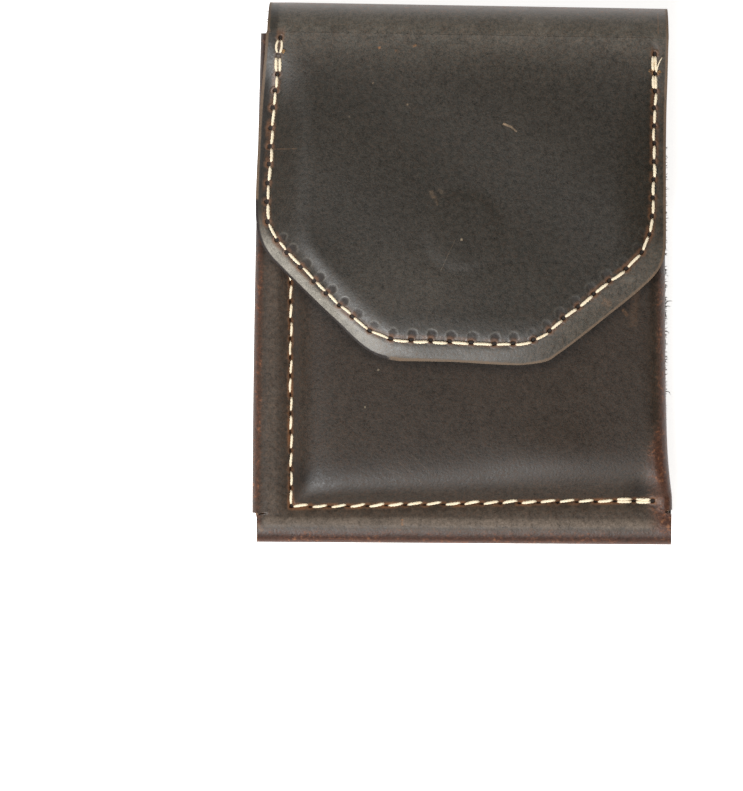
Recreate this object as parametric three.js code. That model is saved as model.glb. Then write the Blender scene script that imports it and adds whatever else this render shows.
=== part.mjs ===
// A small medieval-style belt pouch of oiled leather, laid on its back with the flap shut.
//
// Lengths are in millimetres. X runs across the pouch, Y up its height and Z through its thickness,
// with the side that faces the wearer down. Every sheet of leather is worked out from its middle
// surface and its own thickness, and each layer is stacked on the one below it.
import * as THREE from "three";

// Leather thicknesses.
const bagLeather = 1.8;
const flapLeather = 2;
const liningLeather = 1.2;
const loopLeather = 1.8;

// Clearances: between leathers that a seam holds together, and between pieces that only touch.
const sewnGap = 0.2;
const restGap = 0.3;

// The bag. Its left and bottom edges are rolled, its right edge is a plain fold.
const bagWidth = 106.1; // across the mouth
const bagHeight = 134; // from the mouth to the bottom edge, on the left
const bagDepth = 5.6; // how far the front stands up above its seams
const seamToSlope = 13; // the front climbs most of that depth this far from a seam
const seamToCrown = 38; // and the last of it this far from a seam
const slopeGain = 0.82; // share of the depth that the slope gains
const leftSeamInset = 8; // from the left edge to its seam, at the mouth
const bottomSeamInset = 9.3; // from the bottom edge to its seam, on the left
const bottomSeamClimb = 1.9; // the bottom seam rises by this much to the right
const bottomEdgeFall = 0.7; // while the bottom edge falls by this much
const leftFlare = 2.3; // the left edge leans out by this much on its way down
const flareBend = 1.6; // and, as this power is above 1, hardly at all near the mouth
const flangeRidge = 0.8; // the leather outside a seam stands up by this much
const flangeSlope = 4; // within this distance of the seam
const leftRoll = 3.9; // from the crown of the left roll to its outer edge
const bottomRoll = 5.4; // from the crown of the bottom roll to its outer edge
const turnedMargin = 8.6; // the flat part of the margins behind the bag
const rollStartInset = 1.2; // the bottom roll starts this far inside the bag's left side
const rollEndInset = 0.3; // and ends this far inside its right side
const foldOpening = 0.9; // past the end of the bottom seam the right fold springs open by this much
const seamEndInset = 3.4; // from the right edge to the end of the bottom seam

// The flap piece: outer back, top fold and flap.
const flapOverhang = 0.85; // the flap's widest course past each end of the mouth
const flapLength = 87.1; // from the mouth's level to the tip
const flapOffset = 0.15; // the flap sits this far right of the bag's middle
const foldReach = 8.1; // the top fold stands out this far above the mouth
const topTilt = 1.8; // the top fold and the mouth lie lower on the right by this much
const backInset = 3.2; // the outer back's left edge inside the bag's
const backOverhang = 0.3; // the outer back's right edge outside the bag's
const backBottomInset = 4.8; // the outer back's bottom edge above the bag's
const droopReach = 20; // the flap's border bends down over this width
const droopShare = 0.85; // through this share of the room under it
const droopStart = 26; // and gains it over this length below the mouth's level
const liningInset = 0.4; // the lining's edge inside the flap's

// The belt loop on the back.
const loopWidth = 50;
const beltRoom = 5; // room for the belt's thickness
const beltWidth = 41; // the flat part of the loop
const loopRamp = 9; // from the flat part to each sewn end
const loopTab = 10; // the length that is sewn down at each end
const loopDrop = 57.1; // from the mouth down to the loop's middle

// The closure between flap and front.
const claspDiameter = 18;
const claspThickness = 2.4;
const claspInset = 35.6; // from the flap's tip up to its middle

// Levels of the middle surfaces, from the floor up.
const backLevel = loopLeather + beltRoom + flapLeather / 2;
const marginLevel = backLevel + flapLeather / 2 + sewnGap + bagLeather / 2;
const innerBackLevel = marginLevel + bagLeather + sewnGap;
const seamLevel = innerBackLevel + bagLeather + sewnGap;
const claspLevel = seamLevel + bagDepth + bagLeather / 2 + restGap + claspThickness / 2;
const liningLevel = claspLevel + claspThickness / 2 + restGap + liningLeather / 2;
const flapLevel = liningLevel + liningLeather / 2 + sewnGap + flapLeather / 2;

// Small helpers.
const mix = (from, to, share) => from + (to - from) * share;
const clamp = (value) => Math.min(1, Math.max(0, value));
const smooth = (value) => clamp(value) ** 2 * (3 - 2 * clamp(value));
const ease = (value) => 1 - (1 - clamp(value)) ** 2;

// A sheet of leather of even thickness as one closed body. points[row][column] is its middle surface:
// seen from outside, rows run down and columns run right. lift moves the sheet off that surface, and
// keep(row, column) says which cells are leather.
function leatherSheet({ points, thickness, lift = 0, keep = () => true }) {
  const rows = points.length;
  const columns = points[0].length;
  const inside = (row, column) => row >= 0 && column >= 0 && row < rows - 1 && column < columns - 1;
  const kept = (row, column) => inside(row, column) && keep(row, column);
  const at = (row, column) => {
    const nearRow = Math.min(rows - 1, Math.max(0, row));
    return points[nearRow][Math.min(columns - 1, Math.max(0, column))];
  };
  const positions = [];
  const known = new Map();

  // Index of a corner's vertex on the outer face; the inner face's vertex follows it.
  function corner(row, column) {
    const key = row * columns + column;
    if (known.has(key)) return known.get(key);
    const down = at(row + 1, column).clone().sub(at(row - 1, column));
    const right = at(row, column + 1).clone().sub(at(row, column - 1));
    const normal = down.cross(right).normalize();
    for (const side of [thickness / 2, -thickness / 2])
      positions.push(...at(row, column).clone().addScaledVector(normal, lift + side).toArray());
    known.set(key, positions.length / 3 - 2);
    return known.get(key);
  }

  const faces = [];
  // The cut edge between two corners, in the order in which the outer face runs round its cell.
  const wall = (a, b) => faces.push(b, a, a + 1, b, a + 1, b + 1);
  for (let row = 0; row < rows - 1; row++) {
    for (let column = 0; column < columns - 1; column++) {
      if (!kept(row, column)) continue;
      const a = corner(row, column);
      const b = corner(row + 1, column);
      const c = corner(row + 1, column + 1);
      const d = corner(row, column + 1);
      faces.push(a, b, c, a, c, d);
      faces.push(a + 1, c + 1, b + 1, a + 1, d + 1, c + 1);
      if (!kept(row, column - 1)) wall(a, b);
      if (!kept(row + 1, column)) wall(b, c);
      if (!kept(row, column + 1)) wall(c, d);
      if (!kept(row - 1, column)) wall(d, a);
    }
  }
  const geometry = new THREE.BufferGeometry();
  geometry.setAttribute("position", new THREE.Float32BufferAttribute(positions, 3));
  geometry.setIndex(faces);
  geometry.computeVertexNormals();
  return geometry;
}

// The bag's outline and seams.
const flapWidth = bagWidth + 2 * flapOverhang;
const fromLeft = (x) => x / bagWidth + 0.5;
const mouthY = (x) => bagHeight - topTilt * fromLeft(x);
const bottomY = (x) => -bottomEdgeFall * fromLeft(x);
const seamX = leftSeamInset - bagWidth / 2;
const bottomSeamY = (x) => bottomSeamInset + bottomSeamClimb * fromLeft(x);
const leanOut = (y) => Math.sin((Math.PI / 2) * clamp(1 - y / bagHeight)) ** flareBend;
const leftEdgeX = (y) => -bagWidth / 2 - leftFlare * leanOut(y);

// Share of the full depth that the front has at a distance inside a seam.
const fullness = (distance) => mix(ease(distance / seamToCrown), smooth(distance / seamToSlope), slopeGain);

// The right fold is squeezed flat towards the bottom seam. Its half turn then takes up less of the
// sheet, which pushes its edge out.
function rightEdgeX(y) {
  const squeezed = bagDepth * (1 - fullness(y - bottomSeamY(bagWidth / 2)));
  return bagWidth / 2 + (Math.PI / 2 - 1) * (squeezed / 2);
}

// Middle surface of the bag's front.
function frontLevel(x, y) {
  const aboveSeam = y - bottomSeamY(x);
  const depth = bagDepth * fullness(x - seamX) * fullness(aboveSeam);
  const ridge = flangeRidge * Math.max(smooth((seamX - x) / flangeSlope), smooth(-aboveSeam / flangeSlope));
  const pastSeamEnd = smooth(1 + (x - bagWidth / 2) / seamEndInset) * (1 - fullness(aboveSeam));
  return seamLevel + depth + Math.max(ridge, foldOpening * pastSeamEnd);
}

// The bag's sheet, followed round from the margin behind its left edge to the raw edge of its inner
// back, and down from its mouth, round the bottom edge and up behind it.
const aroundBag = [
  { part: "margin", steps: 2 },
  { part: "roll", steps: 6 },
  { part: "flange", steps: 3 },
  { part: "slope", steps: 4 },
  { part: "front", steps: 6 },
  { part: "fold", steps: 7 },
  { part: "inner back", steps: 4 },
];
const downBag = [
  { part: "front", steps: 7 },
  { part: "slope", steps: 5 },
  { part: "flange", steps: 4 },
  { part: "roll", steps: 6 },
  { part: "margin", steps: 2 },
];

// The grid lines of a table of parts: the part that each line starts or crosses, and how far through it.
function gridLines(parts) {
  const lines = parts.flatMap(({ part, steps }) =>
    Array.from({ length: steps }, (_, step) => ({ part, share: step / steps })),
  );
  return [...lines, { part: parts.at(-1).part, share: 1 }];
}

// Both lower corners are cut out from halfway down the flange, so that neither the left roll nor the
// right fold runs into the bottom roll.
const cutShare = 0.5;
const belowCut = ({ part, share }) =>
  ["roll", "margin"].includes(part) || (part === "flange" && share > cutShare);

// Height of a downward line where it crosses x.
function lineY({ part, share }, x) {
  const crown = bottomY(x) + bottomRoll;
  const reach = bottomRoll - bagLeather / 2;
  const slopeTop = bottomSeamY(x) + seamToSlope;
  if (part === "front") return mix(mouthY(x), slopeTop, share);
  if (part === "slope") return mix(slopeTop, bottomSeamY(x), share);
  if (part === "flange") return mix(bottomSeamY(x), crown, share);
  if (part === "roll") return crown - reach * Math.sin(Math.PI * share);
  return mix(crown, crown + turnedMargin, share);
}

// A point on a half turn of leather that starts at one level and ends at another, from its crown.
const halfTurn = (from, to, share) => mix(from, to, (1 - Math.cos(Math.PI * share)) / 2);

function bagPoint(around, down) {
  const isFront = ["front", "slope", "flange"].includes(down.part);
  const crownLine = { part: "roll", share: 0 };
  const height = lineY(isFront ? down : crownLine, 0);
  const cut = belowCut(down);
  const crownX = leftEdgeX(height) + (cut ? rollStartInset : leftRoll);
  const foldTop = frontLevel(bagWidth / 2, height);
  const foldRadius = (foldTop - innerBackLevel) / 2;
  const foldX = rightEdgeX(height) - (cut ? rollEndInset : foldRadius + bagLeather / 2);

  const { part, share } = around;
  let x = mix(foldX, crownX, share);
  if (part === "margin") x = mix(crownX + turnedMargin, crownX, share);
  if (part === "roll") x = crownX - (leftRoll - bagLeather / 2) * Math.sin(Math.PI * share);
  if (part === "flange") x = mix(crownX, seamX, share);
  if (part === "slope") x = mix(seamX, seamX + seamToSlope, share);
  if (part === "front") x = mix(seamX + seamToSlope, foldX, share);
  if (part === "fold") x = foldX + foldRadius * Math.sin(Math.PI * share);

  const y = lineY(down, x);
  let z = frontLevel(x, isFront ? y : lineY(crownLine, x));
  if (part === "margin") z = marginLevel;
  if (part === "roll") z = halfTurn(marginLevel, frontLevel(crownX, height), share);
  if (part === "fold") z = halfTurn(foldTop, innerBackLevel, share);
  if (part === "inner back") z = innerBackLevel;
  if (down.part === "roll") z = halfTurn(z, marginLevel, down.share);
  if (down.part === "margin") z = marginLevel;
  return new THREE.Vector3(x, y, z);
}

function bagBody() {
  const columns = gridLines(aroundBag);
  const rows = gridLines(downBag);
  const points = rows.map((down) => columns.map((around) => bagPoint(around, down)));
  // Behind the bag the left margin ends above the bottom one, which starts clear of the left roll.
  const leftMarginEnd = bottomRoll + turnedMargin + restGap;
  const bottomMarginStart = leftEdgeX(0) + leftRoll + restGap;
  const keep = (row, column) => {
    const { part } = columns[column];
    const isSide = ["margin", "roll", "fold", "inner back"].includes(part);
    if (isSide && belowCut(rows[row + 1])) return false;
    if (part === "margin") return points[row + 1][column].y > leftMarginEnd;
    if (rows[row].part === "margin") return points[row][column].x > bottomMarginStart;
    return true;
  };
  return leatherSheet({ points, thickness: bagLeather, keep });
}

// The flap's outline below the mouth's level. Each row is a course across the flap: how far down and
// how far out its two ends lie, as shares of the flap's length and of half its width.
const flapOutline = [
  { leftDown: 0.01, leftOut: 0.96, rightDown: 0.01, rightOut: 0.998 },
  { leftDown: 0.11, leftOut: 0.968, rightDown: 0.11, rightOut: 0.992 },
  { leftDown: 0.22, leftOut: 0.978, rightDown: 0.22, rightOut: 0.984 },
  { leftDown: 0.32, leftOut: 0.986, rightDown: 0.33, rightOut: 0.981 },
  { leftDown: 0.42, leftOut: 0.994, rightDown: 0.43, rightOut: 0.981 },
  { leftDown: 0.51, leftOut: 0.999, rightDown: 0.52, rightOut: 0.981 },
  { leftDown: 0.58, leftOut: 0.995, rightDown: 0.6, rightOut: 0.981 },
  { leftDown: 0.628, leftOut: 0.975, rightDown: 0.647, rightOut: 0.976 },
  { leftDown: 0.662, leftOut: 0.942, rightDown: 0.682, rightOut: 0.957 },
  { leftDown: 0.697, leftOut: 0.891, rightDown: 0.72, rightOut: 0.912 },
  { leftDown: 0.755, leftOut: 0.795, rightDown: 0.774, rightOut: 0.816 },
  { leftDown: 0.814, leftOut: 0.699, rightDown: 0.823, rightOut: 0.719 },
  { leftDown: 0.873, leftOut: 0.602, rightDown: 0.873, rightOut: 0.621 },
  { leftDown: 0.922, leftOut: 0.522, rightDown: 0.922, rightOut: 0.524 },
  { leftDown: 0.951, leftOut: 0.462, rightDown: 0.953, rightOut: 0.459 },
  { leftDown: 0.968, leftOut: 0.402, rightDown: 0.974, rightOut: 0.406 },
  { leftDown: 0.976, leftOut: 0.308, rightDown: 0.988, rightOut: 0.278 },
];

// Places across a course, closer together where the border bends down.
const acrossFlap = [0, 0.03, 0.08, 0.15, 0.25, 0.38, 0.5, 0.62, 0.75, 0.85, 0.92, 0.97, 1];
const upBack = [0, 0.33, 0.66];
const foldSteps = 9;

// The ends of a course across the flap.
function flapEnds({ leftDown, leftOut, rightDown, rightOut }) {
  const left = { x: flapOffset - (flapWidth / 2) * leftOut };
  const right = { x: flapOffset + (flapWidth / 2) * rightOut };
  left.y = mouthY(left.x) - flapLength * leftDown;
  right.y = mouthY(right.x) - flapLength * rightDown;
  return { left, right };
}

// How far the flap hangs down at x, y, given its distances from the flap's edges: close over the bag
// where the bag is low, and not at all over the bag's full depth or near the top fold.
function droop(x, y, distances) {
  const bend = (distance) => clamp(1 - distance / droopReach) ** 2;
  const share = 1 - distances.reduce((flat, distance) => flat * (1 - bend(distance)), 1);
  const bagTop = frontLevel(Math.min(x, bagWidth / 2), y) + bagLeather / 2;
  const room = liningLevel - liningLeather / 2 - restGap - bagTop;
  return droopShare * room * share * smooth((mouthY(x) - y) / droopStart);
}

// A course of points between its two ends, at a level that may change along it.
function course({ left, right }, levelAt) {
  return acrossFlap.map((share) => {
    const x = mix(left.x, right.x, share);
    const y = mix(left.y, right.y, share);
    return new THREE.Vector3(x, y, levelAt(x, y, share));
  });
}

function flapCourse(row, inset = 0) {
  const { left, right } = flapEnds(row);
  const width = right.x - left.x;
  const ends = { left: { x: left.x + inset, y: left.y }, right: { x: right.x - inset, y: right.y } };
  return course(ends, (x, y, share) => {
    const tipY = mouthY(x) - flapLength;
    return flapLevel - droop(x, y, [share * width, (1 - share) * width, y - tipY]);
  });
}

function backFlap() {
  const leftX = leftEdgeX(bagHeight) + backInset;
  const rightX = bagWidth / 2 + backOverhang;
  const top = flapEnds({ ...flapOutline[0], leftDown: 0, rightDown: 0 });
  const backCourses = upBack.map((share) => {
    const endAt = (x) => ({ x, y: mix(bottomY(x) + backBottomInset, mouthY(x), share) });
    return course({ left: endAt(leftX), right: endAt(rightX) }, () => backLevel);
  });
  const foldCourses = Array.from({ length: foldSteps + 1 }, (_, step) => {
    const share = step / foldSteps;
    const out = (foldReach - flapLeather / 2) * Math.sin(Math.PI * share);
    const endAt = (x) => ({ x, y: mouthY(x) + out });
    const left = endAt(mix(leftX, top.left.x, share));
    const right = endAt(mix(rightX, top.right.x, share));
    return course({ left, right }, () => halfTurn(backLevel, flapLevel, share));
  });
  const flapCourses = flapOutline.map((row) => flapCourse(row));
  return leatherSheet({ points: [...backCourses, ...foldCourses, ...flapCourses], thickness: flapLeather });
}

function flapLining() {
  const points = flapOutline.map((row) => flapCourse(row, liningInset));
  const lift = -(flapLeather + liningLeather) / 2 - sewnGap;
  return leatherSheet({ points, thickness: liningLeather, lift });
}

// The loop is a strap bent in the YZ plane. Its side view is drawn from one end to the other along its
// outer side and back along its inner side, and given its width.
function beltLoop() {
  const half = beltWidth / 2;
  const rampEnd = half + loopRamp;
  const tabEnd = rampEnd + loopTab;
  const tabLevel = backLevel - flapLeather / 2 - sewnGap - loopLeather;
  const side = new THREE.Shape();
  const bend = (fromY, fromZ, toY, toZ) => {
    const middle = (fromY + toY) / 2;
    side.bezierCurveTo(middle, fromZ, middle, toZ, toY, toZ);
  };
  side.moveTo(-tabEnd, tabLevel);
  side.lineTo(-rampEnd, tabLevel);
  bend(-rampEnd, tabLevel, -half, 0);
  side.lineTo(half, 0);
  bend(half, 0, rampEnd, tabLevel);
  side.lineTo(tabEnd, tabLevel);
  side.lineTo(tabEnd, tabLevel + loopLeather);
  side.lineTo(rampEnd, tabLevel + loopLeather);
  bend(rampEnd, tabLevel + loopLeather, half, loopLeather);
  side.lineTo(-half, loopLeather);
  bend(-half, loopLeather, -rampEnd, tabLevel + loopLeather);
  side.lineTo(-tabEnd, tabLevel + loopLeather);
  const settings = { depth: loopWidth, bevelEnabled: false, curveSegments: 6 };
  const geometry = new THREE.ExtrudeGeometry(side, settings);
  // The drawing's X and Y become the pouch's Y and Z, and the width runs along X.
  const turned = new THREE.Matrix4().makeBasis(
    new THREE.Vector3(0, 1, 0),
    new THREE.Vector3(0, 0, 1),
    new THREE.Vector3(1, 0, 0),
  );
  return geometry.translate(0, 0, -loopWidth / 2).applyMatrix4(turned);
}

function clasp() {
  const radius = claspDiameter / 2;
  return new THREE.CylinderGeometry(radius, radius, claspThickness, 32).rotateX(Math.PI / 2);
}

const leather = (color, roughness) => new THREE.MeshStandardMaterial({ color, roughness, metalness: 0 });
const steel = new THREE.MeshStandardMaterial({ color: "#4a4541", roughness: 0.4, metalness: 0.9 });

function piece(name, geometry, material, x = 0, y = 0, z = 0) {
  const mesh = new THREE.Mesh(geometry, material);
  mesh.name = name;
  mesh.position.set(x, y, z);
  return mesh;
}

const pouch = new THREE.Group();
pouch.add(piece("bag_body", bagBody(), leather("#463e3a", 0.5)));
pouch.add(piece("back_flap", backFlap(), leather("#3e3c37", 0.5)));
pouch.add(piece("flap_lining", flapLining(), leather("#5a4636", 0.8)));
pouch.add(piece("belt_loop", beltLoop(), leather("#463e3a", 0.6), 0, mouthY(0) - loopDrop, 0));
pouch.add(piece("clasp", clasp(), steel, 0, mouthY(0) - flapLength + claspInset, claspLevel));

// The origin is the middle of the pouch's outline, on the surface that it lies on.
const outline = new THREE.Box3().setFromObject(pouch);
const middle = outline.getCenter(new THREE.Vector3());
pouch.position.set(-middle.x, -middle.y, -outline.min.z);

export default pouch;
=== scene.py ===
# %% [markdown]
# # A belt pouch in oiled leather
#
# This lesson dresses a small medieval-style belt pouch for its portrait. The pouch lies on its back
# on a white table with its flap shut, and we look straight down on it.
#
# The solid model gives five plain pieces: the bag, the long piece that is both outer back and flap,
# the flap's lining, the belt loop and a clasp. Here the four leather pieces are made again with the
# same measurements but much closer grid lines, so that they can take seams, dents and worn edges.
# Then come the threads, and last the finishes and the light.

# %% Load the frame
import math

import bpy
import numpy as np
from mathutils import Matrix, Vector
from mathutils.bvhtree import BVHTree


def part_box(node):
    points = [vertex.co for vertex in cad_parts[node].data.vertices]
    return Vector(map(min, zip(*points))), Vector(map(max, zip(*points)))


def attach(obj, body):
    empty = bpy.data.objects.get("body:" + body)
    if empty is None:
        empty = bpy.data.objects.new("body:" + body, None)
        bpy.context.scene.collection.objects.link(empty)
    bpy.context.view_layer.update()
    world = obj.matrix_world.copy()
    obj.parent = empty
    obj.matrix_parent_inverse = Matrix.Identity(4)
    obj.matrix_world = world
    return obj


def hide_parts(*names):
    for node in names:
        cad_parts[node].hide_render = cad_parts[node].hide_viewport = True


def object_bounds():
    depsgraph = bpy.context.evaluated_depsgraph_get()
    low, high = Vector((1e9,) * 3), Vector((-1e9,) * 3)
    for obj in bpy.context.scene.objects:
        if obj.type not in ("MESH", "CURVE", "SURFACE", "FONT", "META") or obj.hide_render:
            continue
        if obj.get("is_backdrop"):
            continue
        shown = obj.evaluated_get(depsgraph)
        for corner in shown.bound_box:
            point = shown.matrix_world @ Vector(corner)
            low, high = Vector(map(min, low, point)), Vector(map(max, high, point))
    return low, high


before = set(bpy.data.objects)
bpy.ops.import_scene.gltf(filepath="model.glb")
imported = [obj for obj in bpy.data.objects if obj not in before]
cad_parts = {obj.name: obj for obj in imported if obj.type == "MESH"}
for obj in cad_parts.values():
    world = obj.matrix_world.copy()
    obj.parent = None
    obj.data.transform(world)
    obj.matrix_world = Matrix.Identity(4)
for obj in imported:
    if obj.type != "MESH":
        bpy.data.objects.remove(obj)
solid_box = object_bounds()
random = np.random.default_rng(1375)
print("The frame has", ", ".join(sorted(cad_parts)))

# %% [markdown]
# ## The camera
#
# A flat thing is photographed from straight above with a long lens, so that its sides don't show.
# The picture is 743 by 791 pixels, and 3.8 of them make a millimetre on the pouch. The pouch lies
# right of and above the middle of the picture, so the camera stands over a spot left of and below
# its own middle. A lens this long needs a high stand, here three metres.

# %% Camera
def put_in_scene(name, data):
    """A new object for a camera, a mesh or a lamp, linked to the scene."""
    thing = bpy.data.objects.new(name, data)
    bpy.context.scene.collection.objects.link(thing)
    return thing

pixels_per_mm, picture_pixels = 3.8, 791
picture_height = picture_pixels / pixels_per_mm / 1000
camera_x, camera_y, camera_height = -0.02356, -0.03203, 3.0
scaled_level = 0.015
sensor = 36.0
camera = put_in_scene("camera", bpy.data.cameras.new("camera"))
bpy.context.scene.camera = camera
camera.data.sensor_width = sensor
camera.data.lens = sensor * (camera_height - scaled_level) / picture_height
camera.data.clip_start, camera.data.clip_end = 0.1, 20
camera.location = (camera_x, camera_y, camera_height)
print(f"The lens is {camera.data.lens:.0f} mm long")

# %% [markdown]
# ## Measurements
#
# The bag is measured in millimetres from the middle of its bottom edge. These are the sizes that
# the solid pieces were cut to. One shift, read off the belt loop's place in the frame, brings every
# point from the bag's own measure to the frame.

# %% Sizes of the leathers
bag_leather, flap_leather, lining_leather, loop_leather = 1.8, 2.0, 1.2, 1.8
sewn_gap, rest_gap = 0.2, 0.3
bag_width, bag_height, bag_depth = 106.1, 134.0, 5.6
seam_to_slope, seam_to_crown, slope_gain = 13.0, 38.0, 0.82
left_seam_inset, bottom_seam_inset, bottom_seam_climb = 8.0, 9.3, 1.9
bottom_edge_fall, left_flare, flare_bend = 0.7, 2.3, 1.0
flange_ridge, flange_slope = 0.8, 4.0
left_roll, bottom_roll, turned_margin = 3.9, 5.4, 8.6
roll_start_inset, roll_end_inset, fold_opening, seam_end_inset = 1.2, 0.3, 0.9, 3.4
flap_overhang, flap_length, flap_offset = 0.85, 87.1, 0.15
fold_reach, top_tilt = 8.1, 1.8
back_inset, back_overhang, back_bottom_inset = 3.2, 0.5, 4.8
droop_reach, droop_share, droop_start = 14.0, 0.85, 26.0
lining_inset, cut_share = 0.4, 0.5
loop_width, belt_room, belt_width = 50.0, 5.0, 41.0
loop_ramp, loop_tab, loop_drop = 9.0, 10.0, 57.1
clasp_thickness, clasp_inset = 2.4, 35.6
fold_spread, corner_spread, corner_top, corner_run = 0.25, 0.4, 24.0, 20.0
left_climb, low_climb_left, low_climb_right = 3.2, 2.8, 6.2
worn_ridge, worn_opening = 0.45, 0.3

flap_width = bag_width + 2 * flap_overhang
back_level = loop_leather + belt_room + flap_leather / 2
margin_level = back_level + flap_leather / 2 + sewn_gap + bag_leather / 2
inner_back_level = margin_level + bag_leather + sewn_gap
seam_level = inner_back_level + bag_leather + sewn_gap
clasp_level = seam_level + bag_depth + bag_leather / 2 + rest_gap + clasp_thickness / 2
lining_level = clasp_level + clasp_thickness / 2 + rest_gap + lining_leather / 2
flap_level = lining_level + lining_leather / 2 + sewn_gap + flap_leather / 2
print(f"From the table up: outer back {back_level}, bag's seams {seam_level}, flap {flap_level} mm")

# %% Helpers for curves
def mix(start, end, share):
    return start + (end - start) * share

def clamp(value):
    return np.clip(value, 0.0, 1.0)

def smooth(value):
    return clamp(value) ** 2 * (3 - 2 * clamp(value))

def ease(value):
    return 1 - (1 - clamp(value)) ** 2

def half_turn(start, end, share):
    return mix(start, end, (1 - math.cos(math.pi * share)) / 2)

def hump(distance, width):
    """1 on a line, falling softly to almost nothing at its width."""
    return np.exp(-((distance / width) ** 2) * 2)

def band(distance, start, rise, end, fall):
    """0 before its start, 1 between two soft slopes and 0 again past its end."""
    return smooth((distance - start) / rise) * (1 - smooth((distance - end) / fall))

# %% Outline of the bag
def from_left(x):
    return x / bag_width + 0.5

def mouth_y(x):
    return bag_height - top_tilt * from_left(x)

def bottom_y(x):
    return -bottom_edge_fall * from_left(x)

def bottom_seam_y(x):
    return bottom_seam_inset + bottom_seam_climb * from_left(x)

def left_edge_x(y):
    return -bag_width / 2 - left_flare * np.sin(math.pi / 2 * clamp(1 - y / bag_height)) ** flare_bend

seam_x = left_seam_inset - bag_width / 2

def fullness(distance):
    return mix(ease(distance / seam_to_crown), smooth(distance / seam_to_slope), slope_gain)

def soft_fullness(distance, reach=14.0):
    """The same climb as the worn leather shows it: steepest at the seam, without a shoulder."""
    return 1 - np.exp(-np.maximum(distance, 0) / reach)

def right_edge_x(y):
    """The fold's outermost line: leather that is pressed flat spreads sideways."""
    squeezed = bag_depth * (1 - soft_fullness(y - bottom_seam_y(bag_width / 2)))
    spread = corner_spread * smooth((corner_top - y) / corner_run)
    return bag_width / 2 + fold_spread + spread + (math.pi / 2 - 1) * squeezed / 2

def front_level(x, y, worn=False):
    """Height of the bag's front. A worn front climbs faster beside its seams."""
    above_seam = y - bottom_seam_y(x)
    past_seam_end = smooth(1 + (x - bag_width / 2) / seam_end_inset) * (1 - fullness(above_seam))
    if worn:
        low_climb = mix(low_climb_left, low_climb_right, from_left(x))
        depth = bag_depth * soft_fullness(x - seam_x, left_climb) * soft_fullness(above_seam, low_climb)
        past_seam_end = past_seam_end * mix(worn_opening, 1.0, smooth(1 + above_seam / 5))
    else:
        depth = bag_depth * fullness(x - seam_x) * fullness(above_seam)
    on_flange = np.maximum(smooth((seam_x - x) / flange_slope), smooth(-above_seam / flange_slope))
    ridge = (worn_ridge if worn else 1.0) * flange_ridge * on_flange
    return seam_level + depth + np.maximum(ridge, fold_opening * past_seam_end)

loop_low, loop_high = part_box("belt_loop")
shift = (loop_low + loop_high) * 500 - Vector((0, mouth_y(0) - loop_drop, 0))
shift = np.array([shift.x, shift.y, 0.0])
print("Shift from the bag's measure to the frame, mm:", shift.round(3))

# %% [markdown]
# ## Where the awl went in
#
# Hand-punched holes are never quite evenly spaced, and the eye notices when they are. So the flap's
# seam is measured hole by hole, from its left end round to its right end. The bag's seam is far more
# even: two straight rows that meet in the lower left corner.
#
# Each seam then gives every point of the leather two numbers. `along` counts stitches, so it is a
# whole number at each hole. `beside` is the distance from the seam in millimetres, more than nothing
# on the inner side. With these two numbers the finish can draw a round hole at every stitch, however
# coarse the mesh is.

# %% The holes of both seams
flap_holes = np.array([
    # x, y: down the left side
    (-47.8, 132.5), (-48.3, 127.8), (-48.4, 123.0), (-48.9, 118.8), (-49.4, 114.3), (-49.9, 108.8),
    (-50.1, 104.0), (-50.3, 99.3), (-50.7, 94.4), (-50.9, 89.5),
    # the left corner and its slope
    (-50.8, 84.3), (-48.3, 79.5), (-45.8, 76.6), (-42.1, 72.7), (-38.5, 69.0), (-35.5, 65.8),
    (-32.2, 62.5), (-28.8, 59.6), (-24.3, 55.8),
    # the bottom
    (-18.8, 53.7), (-13.5, 53.4), (-8.4, 53.3), (-3.4, 53.0), (2.2, 52.7), (8.3, 52.4),
    (13.2, 52.5), (18.5, 53.4),
    # the right slope and its corner
    (22.7, 55.8), (26.3, 59.0), (30.1, 62.0), (34.3, 65.4), (38.3, 68.8), (42.7, 72.0),
    (46.8, 76.2), (48.8, 80.9),
    # up the right side
    (49.4, 85.7), (49.6, 90.5), (49.8, 95.3), (49.9, 100.0), (50.0, 104.8), (50.0, 109.4),
    (50.0, 114.1), (50.3, 118.5), (50.4, 123.1), (50.3, 128.2),
])
left_pitch, left_stitches = 4.9, 25
bottom_pitch, bottom_stitches = 5.01, 19
corner_hole = np.array([seam_x, bottom_seam_y(seam_x)])
left_row = [corner_hole + (0.0, left_pitch * count) for count in range(left_stitches, 0, -1)]
bottom_x = [seam_x + bottom_pitch * count for count in range(1, bottom_stitches + 1)]
bottom_row = [(x, bottom_seam_y(x)) for x in bottom_x]
bag_holes = np.array([*left_row, corner_hole, *bottom_row])
print(len(flap_holes), "holes round the flap,", len(bag_holes), "round the bag")

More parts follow.
